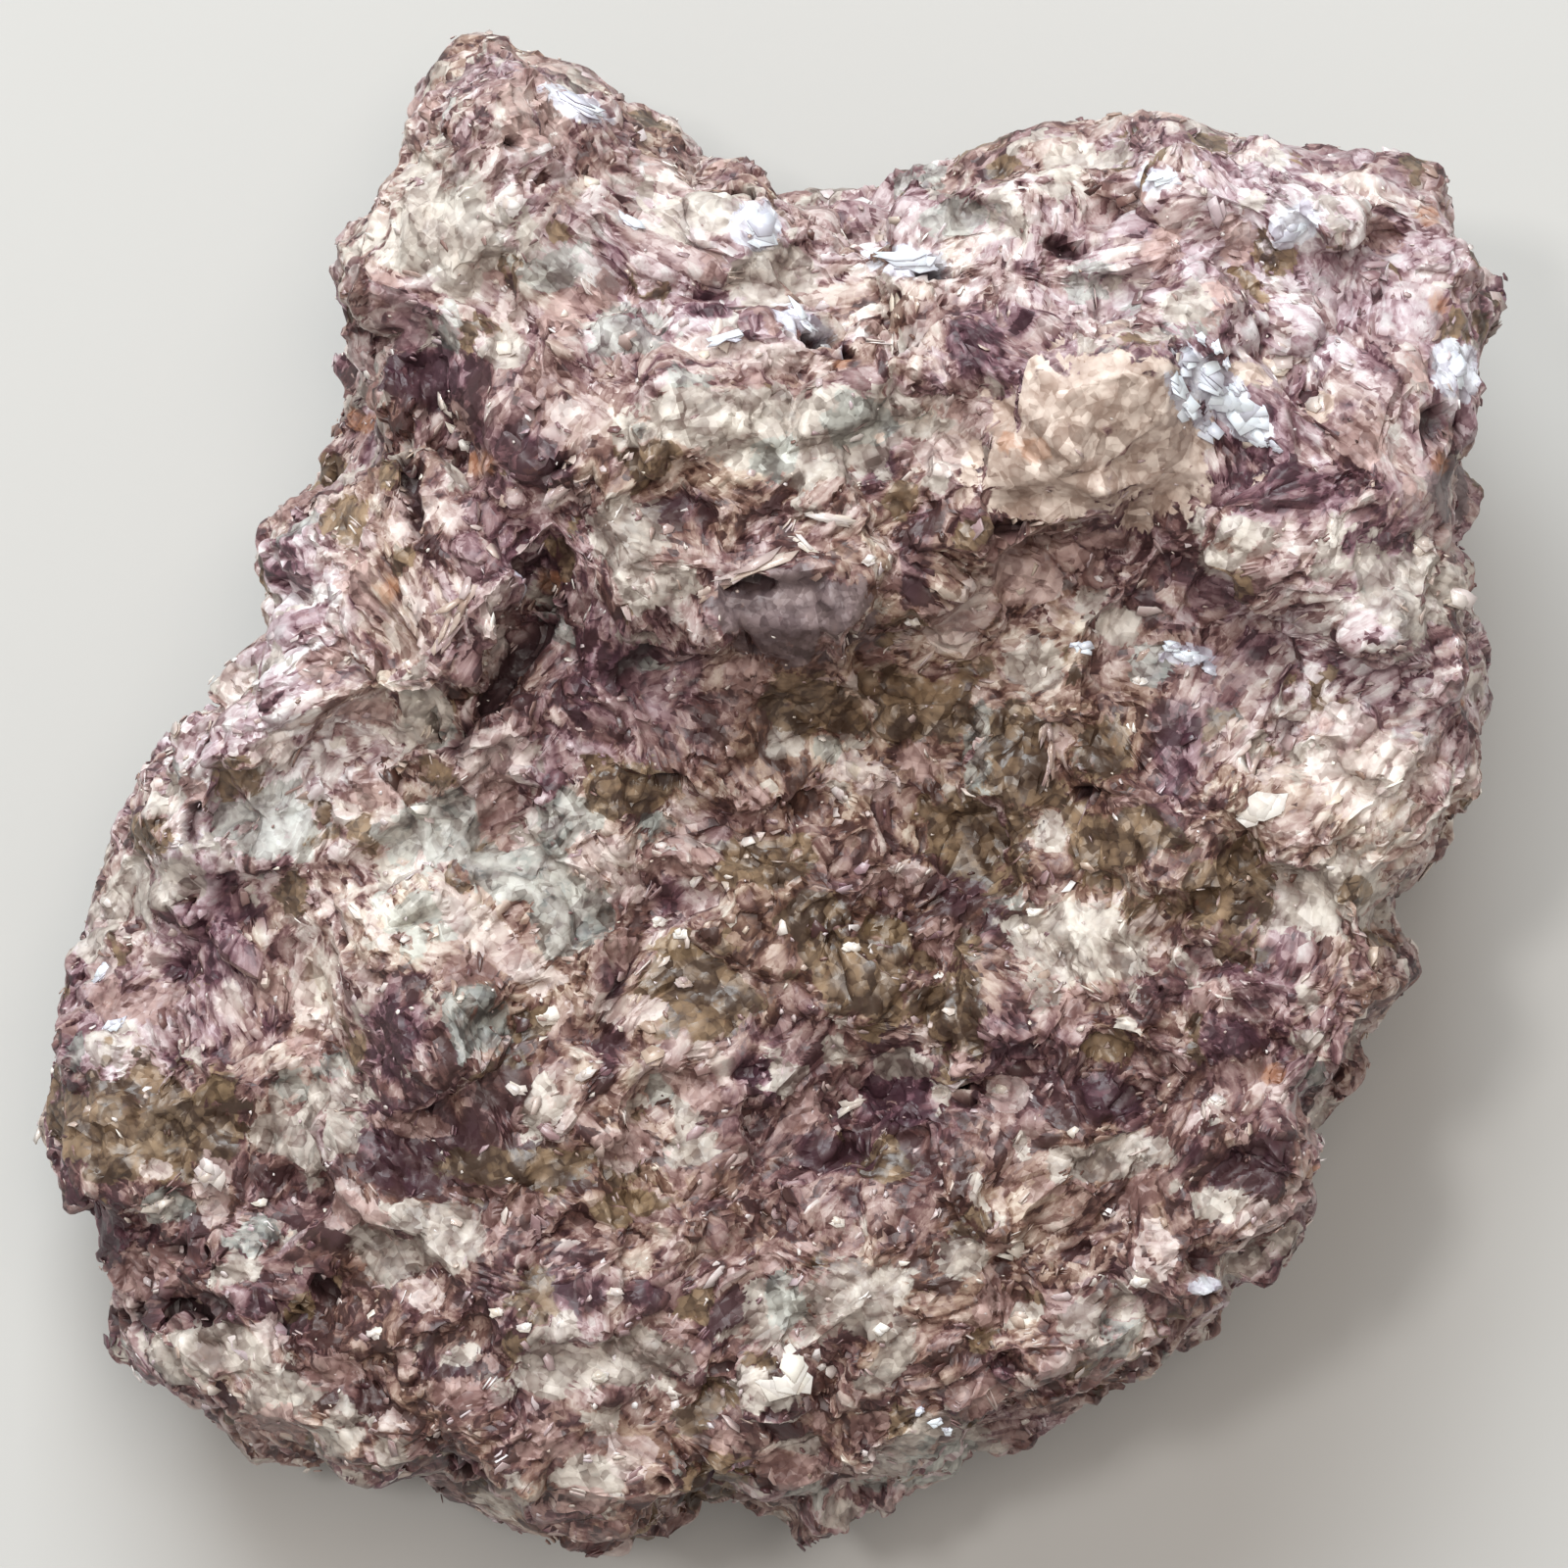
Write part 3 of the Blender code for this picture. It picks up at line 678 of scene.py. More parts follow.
LUMPS = (  # minerals that stand about the rock in single grains, and their parts of all grains
    (Mineral.ALBITE, 0.09), (Mineral.PINK, 0.05), (Mineral.RED, 0.08), (Mineral.QUARTZ, 0.06),
    (Mineral.GREEN, 0.02),
)
MASSIVE = (Mineral.ALBITE, Mineral.GREEN, Mineral.PEACH, Mineral.QUARTZ, Mineral.AMBER)
TINTED = (*MASSIVE, Mineral.PINK, Mineral.RED, Mineral.SILVER, Mineral.LENS)
SHARP = (Mineral.LENS, Mineral.SILVER)  # patches with a clean border
FRAY_SALTS = 20  # step between the salts of a patch's two noises

Shares = dict[Mineral, Array]


@dataclass
class MineralMap:
    """Shares of each mineral at points of the stone.

    Each pair of fray is the size and the height of a noise that bends the patches' borders.
    """

    view: Viewpoint
    surface: Surface
    lump: float = 1.75
    lump_bend: tuple[float, float] = (1.1, 0.3)
    side_patches: int = 150
    side_facing: float = 0.45
    side_sizes: tuple[float, float] = (0.8, 1.7)
    front_facing: tuple[float, float] = (0.1, 0.4)
    fray: tuple[tuple[float, float], ...] = ((1.7, 0.42), (0.6, 0.25))
    sharp_fray: float = 0.3
    patch_fade: tuple[float, float] = (1.32, 0.72)
    area_fade: tuple[float, float] = (1.5, 0.5)
    seed: int = 5
    random_patches: dict[Mineral, tuple[Array, Array]] = field(default_factory=dict)

    def __post_init__(self) -> None:
        """Scatter the patches of the sides and back."""
        draw = np.random.default_rng(self.seed)
        sides = np.flatnonzero(self.surface.normals()[:, 2] < self.side_facing)
        kinds = list(PATCHES)
        weights = np.array([len(PATCHES[kind]) for kind in kinds], float)
        chosen = draw.choice(len(kinds), self.side_patches, p=weights / weights.sum())
        centres = self.surface.points[draw.choice(sides, self.side_patches)]
        for number, kind in enumerate(kinds):
            mine = centres[chosen == number]
            usual = np.mean([(long, wide) for _, _, long, wide, _ in PATCHES[kind]])
            usual = usual * self.view.pixel
            sizes = usual * draw.uniform(*self.side_sizes, len(mine))
            self.random_patches[kind] = (mine, sizes)

    def front(self, normals: Array) -> Array:
        """How far a point belongs to the drawn front, from 0 to 1, by how much it faces up."""
        return smooth_step(*self.front_facing, normals[:, 2])

    def share(self, kind: Mineral, points: Array, normals: Array) -> Array:
        """Share of one mineral at the points.

        A patch is an ellipse whose border is bent by noise: its share goes from 1 to 0 as the
        distance from its middle passes its half size.

        Args:
            kind: the mineral.
            points: places on the stone.
            normals: the stone's normals there.

        Returns:
            Numbers from 0 to 1.
        """
        seen = self.view.to_plane(points)
        salt = Salt.PATCH + list(Mineral).index(kind)
        ragged = np.ones(len(points))
        for number, (size, height) in enumerate(self.fray):
            ragged = ragged + height * soft_noise(points, size, salt + FRAY_SALTS * number)
        if kind in SHARP:
            ragged = 1 + self.sharp_fray * (ragged - 1)
        front = np.zeros(len(points))
        for across, down, long, wide, turn in PATCHES[kind]:
            along, side = self.local(seen, across, down, turn)
            reach = np.hypot(along / long, side / wide) / self.view.pixel
            front = np.maximum(front, smooth_step(*self.patch_fade, reach * ragged))
        behind = np.zeros(len(points))
        for centre, size in zip(*self.random_patches[kind]):
            reach = np.linalg.norm(points - centre, axis=1) / size
            behind = np.maximum(behind, smooth_step(*self.patch_fade, reach * ragged))
        blend = self.front(normals)
        return front * blend + behind * (1 - blend)

    def lumps(self, points: Array) -> Shares:
        """Which points lie in single grains of each mineral, by each grain's own number.

        Args:
            points: places on the stone.

        Returns:
            For each mineral of LUMPS, 1 in its grains and 0 elsewhere.
        """
        size, height = self.lump_bend
        bend = np.column_stack(
            [soft_noise(points, size, Salt.LUMP_BEND + axis) for axis in range(3)])
        own = mixed(grain_cells(points + height * bend, self.lump, Salt.LUMP).code,
                    Salt.LUMP_CHOICE)
        found, start = {}, 0.0
        for kind, part in LUMPS:
            found[kind] = ((own >= start) & (own < start + part)).astype(float)
            start += part
        return found

    def tone_and_painted_light(self, points: Array, normals: Array) -> tuple[Array, Array]:
        """How much lighter and warmer the mica is in the LIGHT_AND_TONE_AREAS of the front: its own
        tone together with painted light from above.

        Args:
            points: places on the stone.
            normals: the stone's normals there.

        Returns:
            What is added to the tone and to the warmth.
        """
        seen = self.view.to_plane(points)
        tone, warmth = np.zeros((2, len(points)))
        for across, down, long, wide, turn, lighter, warmer in LIGHT_AND_TONE_AREAS:
            along, side = self.local(seen, across, down, turn)
            reach = np.hypot(along / long, side / wide) / self.view.pixel
            inside = smooth_step(*self.area_fade, reach)
            tone += lighter * inside
            warmth += warmer * inside
        blend = self.front(normals)
        return tone * blend, warmth * blend

    def local(self, seen: Array, across: float, down: float, turn: float) -> tuple[Array, Array]:
        """Distances along and across a direction from a place in the picture.

        Args:
            seen: where points are seen on the viewpoint's plane.
            across: the place's distance from the picture's left edge.
            down: its distance from the top edge.
            turn: the direction in degrees, anticlockwise from the right.

        Returns:
            The distances along the direction, and those across it.
        """
        angle = math.radians(turn)
        step = seen - self.view.place(across, down)
        along = step[:, 0] * math.cos(angle) + step[:, 1] * math.sin(angle)
        return along, step[:, 1] * math.cos(angle) - step[:, 0] * math.sin(angle)


# How the mica is built

SMALL_CODE = 4001  # keeps small blades' codes apart from large ones'
DOMAIN_CODE = 101  # keeps one domain's codes apart from another's


@dataclass(frozen=True)
class Blades:
    """The mica blade that each of many points belongs to, one row for each point.

    place is where a point lies from its blade's middle: its depth across the blade's sheets,
    its run along the blade and its way across that. axis is the direction of depth and along
    that of run. border is 0 between two blades.
    """

    grains: Grains
    axis: Array
    along: Array
    place: Array
    border: Array

    def rows(self, chosen: Array) -> "Blades":
        """The blades of some of the points."""
        grains = Grains(*(part[chosen] for part in vars(self.grains).values()))
        return Blades(grains, self.axis[chosen], self.along[chosen], self.place[chosen],
                      self.border[chosen])


@dataclass(frozen=True)
class BladeField:
    """Blades of mica that fill the rock: long, broad and thin, and alike in direction nearby.

    Space is divided into domains, each with a frame of three directions. In a domain's frame
    the blades are grains of a lattice that is drawn out along the frame's directions.
    """

    view: Viewpoint
    domain: float = 4.8
    sizes: tuple[float, float, float] = (0.85, 3.1, 1.7)
    small: float = 0.5
    large_share: float = 0.5
    raggedness: tuple[float, float] = (1.2, 0.17)
    swirl: tuple[float, float] = (3.2, 0.32)
    front_height: float = 11.0
    streak_reach: float = 1.15
    drawn_tilt: float = 0.45
    drawn_swing: float = 0.4
    own_tilt: float = 0.30
    run_slope: float = 0.5

    def bent(self, points: Array) -> Array:
        """The points shifted by two noises, which bends blades and frays their borders.

        Args:
            points: places, one row each.

        Returns:
            The shifted places.
        """
        shift = np.zeros_like(points)
        for number, (size, height) in enumerate((self.raggedness, self.swirl)):
            salt = Salt.BLADE_BEND + 3 * number
            shift += height * np.column_stack(
                [soft_noise(points, size, salt + axis) for axis in range(3)])
        return points + shift

    def frames(self, grains: Grains) -> tuple[Array, Array]:
        """The directions of the domains that points lie in.

        Where STREAKS draws the way that blades run, they run that way and stand nearly on edge.

        Args:
            grains: the points' domains.

        Returns:
            The unit direction across the sheets and the one along the blades.
        """
        axes = grains.vectors(Salt.DOMAIN_AXIS)
        along = grains.vectors(Salt.DOMAIN_RUN)
        seen = self.view.to_plane(grains.seed)
        for across, down, long, wide, turn in STREAKS:
            step = (seen - self.view.place(across, down)) / self.view.pixel
            inside = np.hypot(step[:, 0] / long, step[:, 1] / wide) < self.streak_reach
            inside = (inside & (grains.seed[:, 2] > self.front_height))[:, None]
            cosine, sine = math.cos(math.radians(turn)), math.sin(math.radians(turn))
            own = self.drawn_tilt * grains.vectors(Salt.STREAK_TILT)
            axes = np.where(inside, np.array([-sine, cosine, 0.0]) + own, axes)
            along = np.where(inside, np.array([cosine, sine, 0.0]) + self.drawn_swing * own, along)
        axes = unit(axes)
        along = unit(along - axes * (along * axes).sum(axis=1, keepdims=True))
        return axes, along

    def blades(self, points: Array) -> Blades:
        """The blades that points belong to.

        Args:
            points: places, one row each.

        Returns:
            The points' blades.
        """
        bent = self.bent(points)
        domains = grain_cells(bent, self.domain, Salt.DOMAIN)
        axes, along = self.frames(domains)
        frame = np.stack([axes, along, np.cross(axes, along)], axis=1)
        sizes = np.array(self.sizes)
        scaled = (frame @ bent[:, :, None])[:, :, 0] / sizes
        large = grain_cells(scaled, 1.0, Salt.LARGE_BLADE)
        fine = grain_cells(scaled, self.small, Salt.SMALL_BLADE)
        coarse = mixed(large.code, Salt.BLADE_CHOICE) < self.large_share
        seed = np.where(coarse[:, None], large.seed, fine.seed)
        code = np.where(coarse[:, None], large.code, fine.code + SMALL_CODE)
        code = code + DOMAIN_CODE * domains.code
        border = np.minimum(np.where(coarse, large.border, fine.border), large.border)
        border = np.minimum(border, domains.border * self.domain)
        grains = Grains(seed, code, border)
        place = (scaled - seed) * sizes
        tilt = self.own_tilt * grains.vectors(Salt.BLADE_TILT)
        slope = place[:, 1] * tilt[:, 1] * self.run_slope
        depth = place[:, 0] + slope + place[:, 2] * tilt[:, 2]
        place = np.column_stack([depth, place[:, 1:]])
        return Blades(grains, unit(axes + tilt), along, place, border)


# Prisms for thin flakes

SIDES = 5
RING = np.arange(SIDES)
NEXT = np.roll(RING, -1)
PRISM_LOOPS = np.concatenate([
    RING + SIDES,
    RING[::-1],
    np.column_stack([RING, NEXT, NEXT + SIDES, RING + SIDES]).ravel(),
])
PRISM_STARTS = np.concatenate([[0, SIDES], 2 * SIDES + 4 * RING])
PRISM_EDGE = np.concatenate([[0.0, 0.0], np.ones(SIDES)])
SPARE_WAY = (0.31, 0.87, 0.38)  # gives the length's direction where a prism lies flat
FLAT_LYING = 0.15  # sine of the angle between a prism's axis and the normal, to call it flat


def prism_corners(axis: Array, along: Array, length: Array, width: Array, thick: Array,
                  draw: np.random.Generator, irregular: float, taper: float = 0.0) -> Array:
    """Corners of five-sided prisms around their own middles.

    A corner at angle t lies at along * length * r * cos(t) + across * width * r * sin(t) in
    the prism's plane, and half the thickness above or below it along the axis.

    Args:
        axis: unit direction through each prism's thickness.
        along: unit direction of each prism's length.
        length: half lengths.
        width: half widths.
        thick: thicknesses.
        draw: source of the random numbers.
        irregular: how far the corners leave a regular outline.
        taper: how much smaller the upper outline may be.

    Returns:
        An array of prisms by ten corners by three.
    """
    count = len(axis)
    across = np.cross(axis, along)
    angle = (RING + draw.uniform(-irregular, irregular, (count, SIDES))) * math.tau / SIDES
    angle = angle + draw.uniform(0, math.tau, (count, 1))
    radius = 1 + draw.uniform(-irregular, irregular, (count, SIDES))
    u = radius * np.cos(angle) * length[:, None]
    v = radius * np.sin(angle) * width[:, None]
    flat = u[..., None] * along[:, None] + v[..., None] * across[:, None]
    rise = (axis * thick[:, None] / 2)[:, None]
    top = flat * (1 - taper * draw.random((count, 1, 1))) + rise
    return np.concatenate([flat - rise, top], axis=1)


@dataclass
class Prisms:
    """Many five-sided prisms, one row of each array for each."""

    centre: Array
    normal: Array
    axis: Array
    length: Array
    width: Array
    thick: Array
    tone: Array
    warmth: Array

    def along(self) -> Array:
        """The direction of each prism's length, level with the stone's surface.

        Returns:
            One unit row for each prism.
        """
        helper = np.cross(self.normal, self.axis)
        spare = np.cross(self.axis, np.array(SPARE_WAY))
        flat = np.linalg.norm(helper, axis=1, keepdims=True) < FLAT_LYING
        return unit(np.where(flat, spare, helper))

    def placed(self, lift: Array, draw: np.random.Generator, irregular: float,
               taper: float = 0.12) -> Array:
        """Corners set so that each prism's highest one stands lift above the stone.

        Args:
            lift: height of the highest corner over the stone's surface.
            draw: source of the random numbers.
            irregular: how far the corners leave a regular outline.
            taper: how much smaller the upper outline may be.

        Returns:
            An array of prisms by ten corners by three.
        """
        local = prism_corners(self.axis, self.along(), self.length, self.width, self.thick, draw,
                              irregular, taper)
        highest = (local * self.normal[:, None]).sum(axis=2).max(axis=1)
        base = self.centre + self.normal * (lift - highest)[:, None]
        return local + base[:, None]


def prism_mesh(name: str, corners: Array, tone: Array, warmth: Array) -> bpy.types.Mesh:
    """A mesh of prisms with each one's tone and warmth, and a mark on its edge faces.

    Args:
        name: the mesh's name.
        corners: an array of prisms by ten corners by three.
        tone: how light each prism is, from 0 to 1.
        warmth: how warm its colour is, from 0 to 1.

    Returns:
        The mesh in metres.
    """
    count = len(corners)
    points = corners.reshape(-1, 3)
    points[:, 2] = np.maximum(points[:, 2], 0)
    loops = PRISM_LOOPS + 2 * SIDES * np.arange(count)[:, None]
    starts = PRISM_STARTS + len(PRISM_LOOPS) * np.arange(count)[:, None]
    mesh = write_mesh(name, points, loops.ravel(), starts.ravel())
    write_attribute(mesh, "tone", "FACE", np.repeat(tone, len(PRISM_STARTS)))
    write_attribute(mesh, "warmth", "FACE", np.repeat(warmth, len(PRISM_STARTS)))
    write_attribute(mesh, "edge", "FACE", np.tile(PRISM_EDGE, count))
    return mesh


# Materials

GREY: Colour = (0.5, 0.5, 0.5)  # the mean of a cell's random colour
MIX_INPUTS = (0, 6, 7)  # sockets of a colour mix: its share and its two colours
MIX_OUTPUT = 2


@dataclass
class NodeTree:
    """Short words for building a shader's nodes."""

    tree: bpy.types.NodeTree

    def add(self, kind: str, inputs: dict | None = None, **settings: object) -> bpy.types.Node:
        """A node with its settings and inputs.

        Args:
            kind: the node's type.
            inputs: for each socket, a value or another node's output.
            **settings: the node's own properties.

        Returns:
            The node.
        """
        node = self.tree.nodes.new(kind)
        for name, value in settings.items():
            setattr(node, name, value)
        for name, value in (inputs or {}).items():
            if isinstance(value, bpy.types.NodeSocket):
                self.tree.links.new(value, node.inputs[name])
            else:
                node.inputs[name].default_value = value
        return node

    def math(self, operation: str, *values: object) -> bpy.types.NodeSocket:
        """The result of a sum, product or other operation on numbers."""
        inputs = dict(enumerate(values))
        return self.add("ShaderNodeMath", inputs, operation=operation).outputs[0]

    def vector(self, operation: str, *values: object, **named: object) -> bpy.types.NodeSocket:
        """The result of an operation on vectors."""
        inputs = {**dict(enumerate(values)), **named}
        return self.add("ShaderNodeVectorMath", inputs, operation=operation).outputs["Vector"]

    def remap(self, value: object, low: float, high: float, start: float = 0.0,
              end: float = 1.0) -> bpy.types.NodeSocket:
        """A value taken from one range to another, and held there."""
        inputs = {"Value": value, "From Min": low, "From Max": high, "To Min": start, "To Max": end}
        return self.add("ShaderNodeMapRange", inputs).outputs["Result"]

    def swing(self, value: object, reach: float) -> bpy.types.NodeSocket:
        """A value from 0 to 1 taken to as much below zero as above it."""
        return self.remap(value, 0.0, 1.0, -reach, reach)

    def noise(self, place: object, scale: float, detail: float,
              roughness: float = 0.5) -> bpy.types.Node:
        """A noise texture at a place."""
        inputs = {"Vector": place, "Scale": scale, "Detail": detail, "Roughness": roughness}
        return self.add("ShaderNodeTexNoise", inputs)

    def leaning(self, normal: object, colour: object, lean: object) -> bpy.types.NodeSocket:
        """A normal that leans by a cell's random colour: unit(lean * (colour - grey) + normal)."""
        way = self.vector("SCALE", self.vector("SUBTRACT", colour, GREY), Scale=lean)
        return self.vector("NORMALIZE", self.vector("ADD", way, normal))

    def mix(self, share: object, first: object, second: object) -> bpy.types.NodeSocket:
        """Two colours blended.

        Args:
            share: how much there is of the second colour, a number or a socket.
            first: a colour or a socket.
            second: a colour or a socket.

        Returns:
            The blended colour.
        """
        node = self.add("ShaderNodeMix", data_type="RGBA")
        for number, value in zip(MIX_INPUTS, (share, first, second)):
            if isinstance(value, bpy.types.NodeSocket):
                self.tree.links.new(value, node.inputs[number])
            else:
                node.inputs[number].default_value = (*value, 1.0) if number else value
        return node.outputs[MIX_OUTPUT]

    def ramp(self, value: object, stops: Ramp) -> bpy.types.NodeSocket:
        """A colour looked up along a row of stops.

        Args:
            value: the place on the row, from 0 to 1.
            stops: a place and a colour for each stop.

        Returns:
            The colour.
        """
        node = self.add("ShaderNodeValToRGB", {"Fac": value})
        elements = node.color_ramp.elements
        while len(elements) < len(stops):
            elements.new(0.5)
        for element, (place, colour) in zip(elements, stops):
            element.position = place
            element.color = (*colour, 1.0)
        return node.outputs["Color"]

    def attribute(self, name: str) -> bpy.types.NodeSocket:
        """A number stored on the mesh."""
        return self.add("ShaderNodeAttribute", attribute_name=name).outputs["Fac"]

    def object_place(self) -> bpy.types.NodeSocket:
        """The place on the piece."""
        return self.add("ShaderNodeTexCoord").outputs["Object"]


def new_group(name: str, inputs: dict[str, str],
              outputs: dict[str, str]) -> tuple[NodeTree, bpy.types.Node, bpy.types.Node]:
    """An empty shader node group.

    Args:
        name: the group's name.
        inputs: for each input socket, its kind.
        outputs: for each output socket, its kind.

    Returns:
        The group's builder, and its input and output nodes.
    """
    group = bpy.data.node_groups.new(name, "ShaderNodeTree")
    for socket, kind in inputs.items():
        group.interface.new_socket(socket, in_out="INPUT", socket_type=kind)
    for socket, kind in outputs.items():
        group.interface.new_socket(socket, in_out="OUTPUT", socket_type=kind)
    nodes = NodeTree(group)
    return nodes, nodes.add("NodeGroupInput"), nodes.add("NodeGroupOutput")


@dataclass
class SharedEffects:
    """Effects that several of the stone's materials use, built once."""

    crack_shade_slope: float = 0.6

    def __post_init__(self) -> None:
        """Build the group of grains."""
        self.grains = self.build_grains()

    def build_grains(self) -> bpy.types.NodeTree:
        """Fine crystal grains: for each a random tone, a tone darker at its rim that is painted
        shade in the cracks between grains, and a lean.

        A grain's face leans by its own random direction: normal = unit(normal + lean * way).

        Returns:
            The node group.
        """
        nodes, start, end = new_group(
            "crystal_grains",
            {"Place": "NodeSocketVector", "Scale": "NodeSocketFloat",
             "Normal": "NodeSocketVector", "Lean": "NodeSocketFloat"},
            {"Tone": "NodeSocketFloat", "Rubble": "NodeSocketFloat", "Normal": "NodeSocketVector"},
        )
        cells = nodes.add("ShaderNodeTexVoronoi", {"Vector": start.outputs["Place"],
                                                   "Scale": start.outputs["Scale"]})
        tint = nodes.add("ShaderNodeSeparateColor", {"Color": cells.outputs["Color"]})
        links = nodes.tree.links
        links.new(tint.outputs["Red"], end.inputs["Tone"])
        # painted shade: the rubble tone darker towards each grain's rim
        slope = nodes.math("MULTIPLY", cells.outputs["Distance"], self.crack_shade_slope)
        links.new(nodes.math("SUBTRACT", tint.outputs["Green"], slope), end.inputs["Rubble"])
        leaning = nodes.leaning(start.outputs["Normal"], cells.outputs["Color"],
                                start.outputs["Lean"])
        links.new(leaning, end.inputs["Normal"])
        return nodes.tree

    def place_grains(self, nodes: NodeTree, here: bpy.types.NodeSocket,
                     normal: bpy.types.NodeSocket, scale: float, lean: float) -> bpy.types.Node:
        """The group of grains placed in a material.

        Args:
            nodes: the material's builder.
            here: the place on the piece.
            normal: the surface's normal.
            scale: grains to a metre.
            lean: how far a grain's face leans.

        Returns:
            The group's node.
        """
        made = nodes.add("ShaderNodeGroup", node_tree=self.grains)
        nodes.tree.links.new(here, made.inputs["Place"])
        nodes.tree.links.new(normal, made.inputs["Normal"])
        made.inputs["Scale"].default_value = scale
        made.inputs["Lean"].default_value = lean
        return made


def new_material(name: str) -> tuple[bpy.types.Material, NodeTree, bpy.types.Node]:
    """A material with its builder and its Principled shader.

    Args:
        name: the material's name.

    Returns:
        The material, its builder and its shader node.
    """
    material = bpy.data.materials.new(name)
    material.use_nodes = True
    nodes = NodeTree(material.node_tree)
    return material, nodes, material.node_tree.nodes["Principled BSDF"]


COOL_MICA: Ramp = (
    (0.00, (0.050, 0.018, 0.027)),
    (0.20, (0.134, 0.058, 0.076)),
    (0.40, (0.282, 0.172, 0.194)),
    (0.60, (0.455, 0.350, 0.378)),
    (0.80, (0.626, 0.556, 0.576)),
    (1.00, (0.855, 0.825, 0.832)),
)
WARM_MICA: Ramp = (
    (0.00, (0.055, 0.022, 0.016)),
    (0.20, (0.150, 0.073, 0.050)),
    (0.40, (0.312, 0.205, 0.152)),
    (0.60, (0.505, 0.395, 0.318)),
    (0.80, (0.655, 0.575, 0.480)),
    (1.00, (0.850, 0.800, 0.710)),
)
# pale silvery mica with a painted bluish reflection of the window light
SILVER_SHEEN_MICA: Ramp = (
    (0.20, (0.200, 0.150, 0.200)),
    (0.55, (0.600, 0.600, 0.680)),
    (0.85, (0.840, 0.900, 0.960)),
)
COVER = {  # how fully a mineral's colour hides the mica's in the middle of its patch
    Mineral.PINK: 0.65, Mineral.SILVER: 0.85, Mineral.GREEN: 0.65, Mineral.RED: 0.75,
    Mineral.ALBITE: 0.75,
}
USUAL_COVER = 0.92


@dataclass(frozen=True)
class MicaFinish:
    """Pearly loose mica sheets whose colour goes from dark purple to pink-white with their tone."""

    name: str
    effects: SharedEffects
    roughness: float = 0.34
    edge_roughness: float = 0.5
    edge_light: float = 0.06
    speck_scale: float = 2600.0
    speck_lean: float = 0.15
    speck: float = 0.08
    refraction: float = 1.58
    cool: Ramp = COOL_MICA
    warm: Ramp = WARM_MICA

    def material(self) -> bpy.types.Material:
        """The mica's material.

        Returns:
            The material.
        """
        material, nodes, shader = new_material(self.name)
        links = nodes.tree.links
        normal = nodes.add("ShaderNodeNewGeometry").outputs["Normal"]
        specks = self.effects.place_grains(nodes, nodes.object_place(), normal, self.speck_scale,
                                           self.speck_lean)
        edge = nodes.attribute("edge")
        lighter = nodes.math("MULTIPLY_ADD", edge, self.edge_light, nodes.attribute("tone"))
        tone = nodes.math("ADD", lighter, nodes.swing(specks.outputs["Tone"], self.speck))
        colour = nodes.mix(nodes.attribute("warmth"), nodes.ramp(tone, self.cool),
                           nodes.ramp(tone, self.warm))
        links.new(colour, shader.inputs["Base Color"])
        rough = nodes.remap(edge, 0.0, 1.0, self.roughness, self.edge_roughness)
        links.new(rough, shader.inputs["Roughness"])
        links.new(specks.outputs["Normal"], shader.inputs["Normal"])
        shader.inputs["IOR"].default_value = self.refraction
        return material


@dataclass(frozen=True)
class GrainLayer:
    """One size of grains in the rock: grains to a metre, lean, and parts in the two colours."""

    scale: float
    lean: float
    mica_part: float
    mineral_part: float


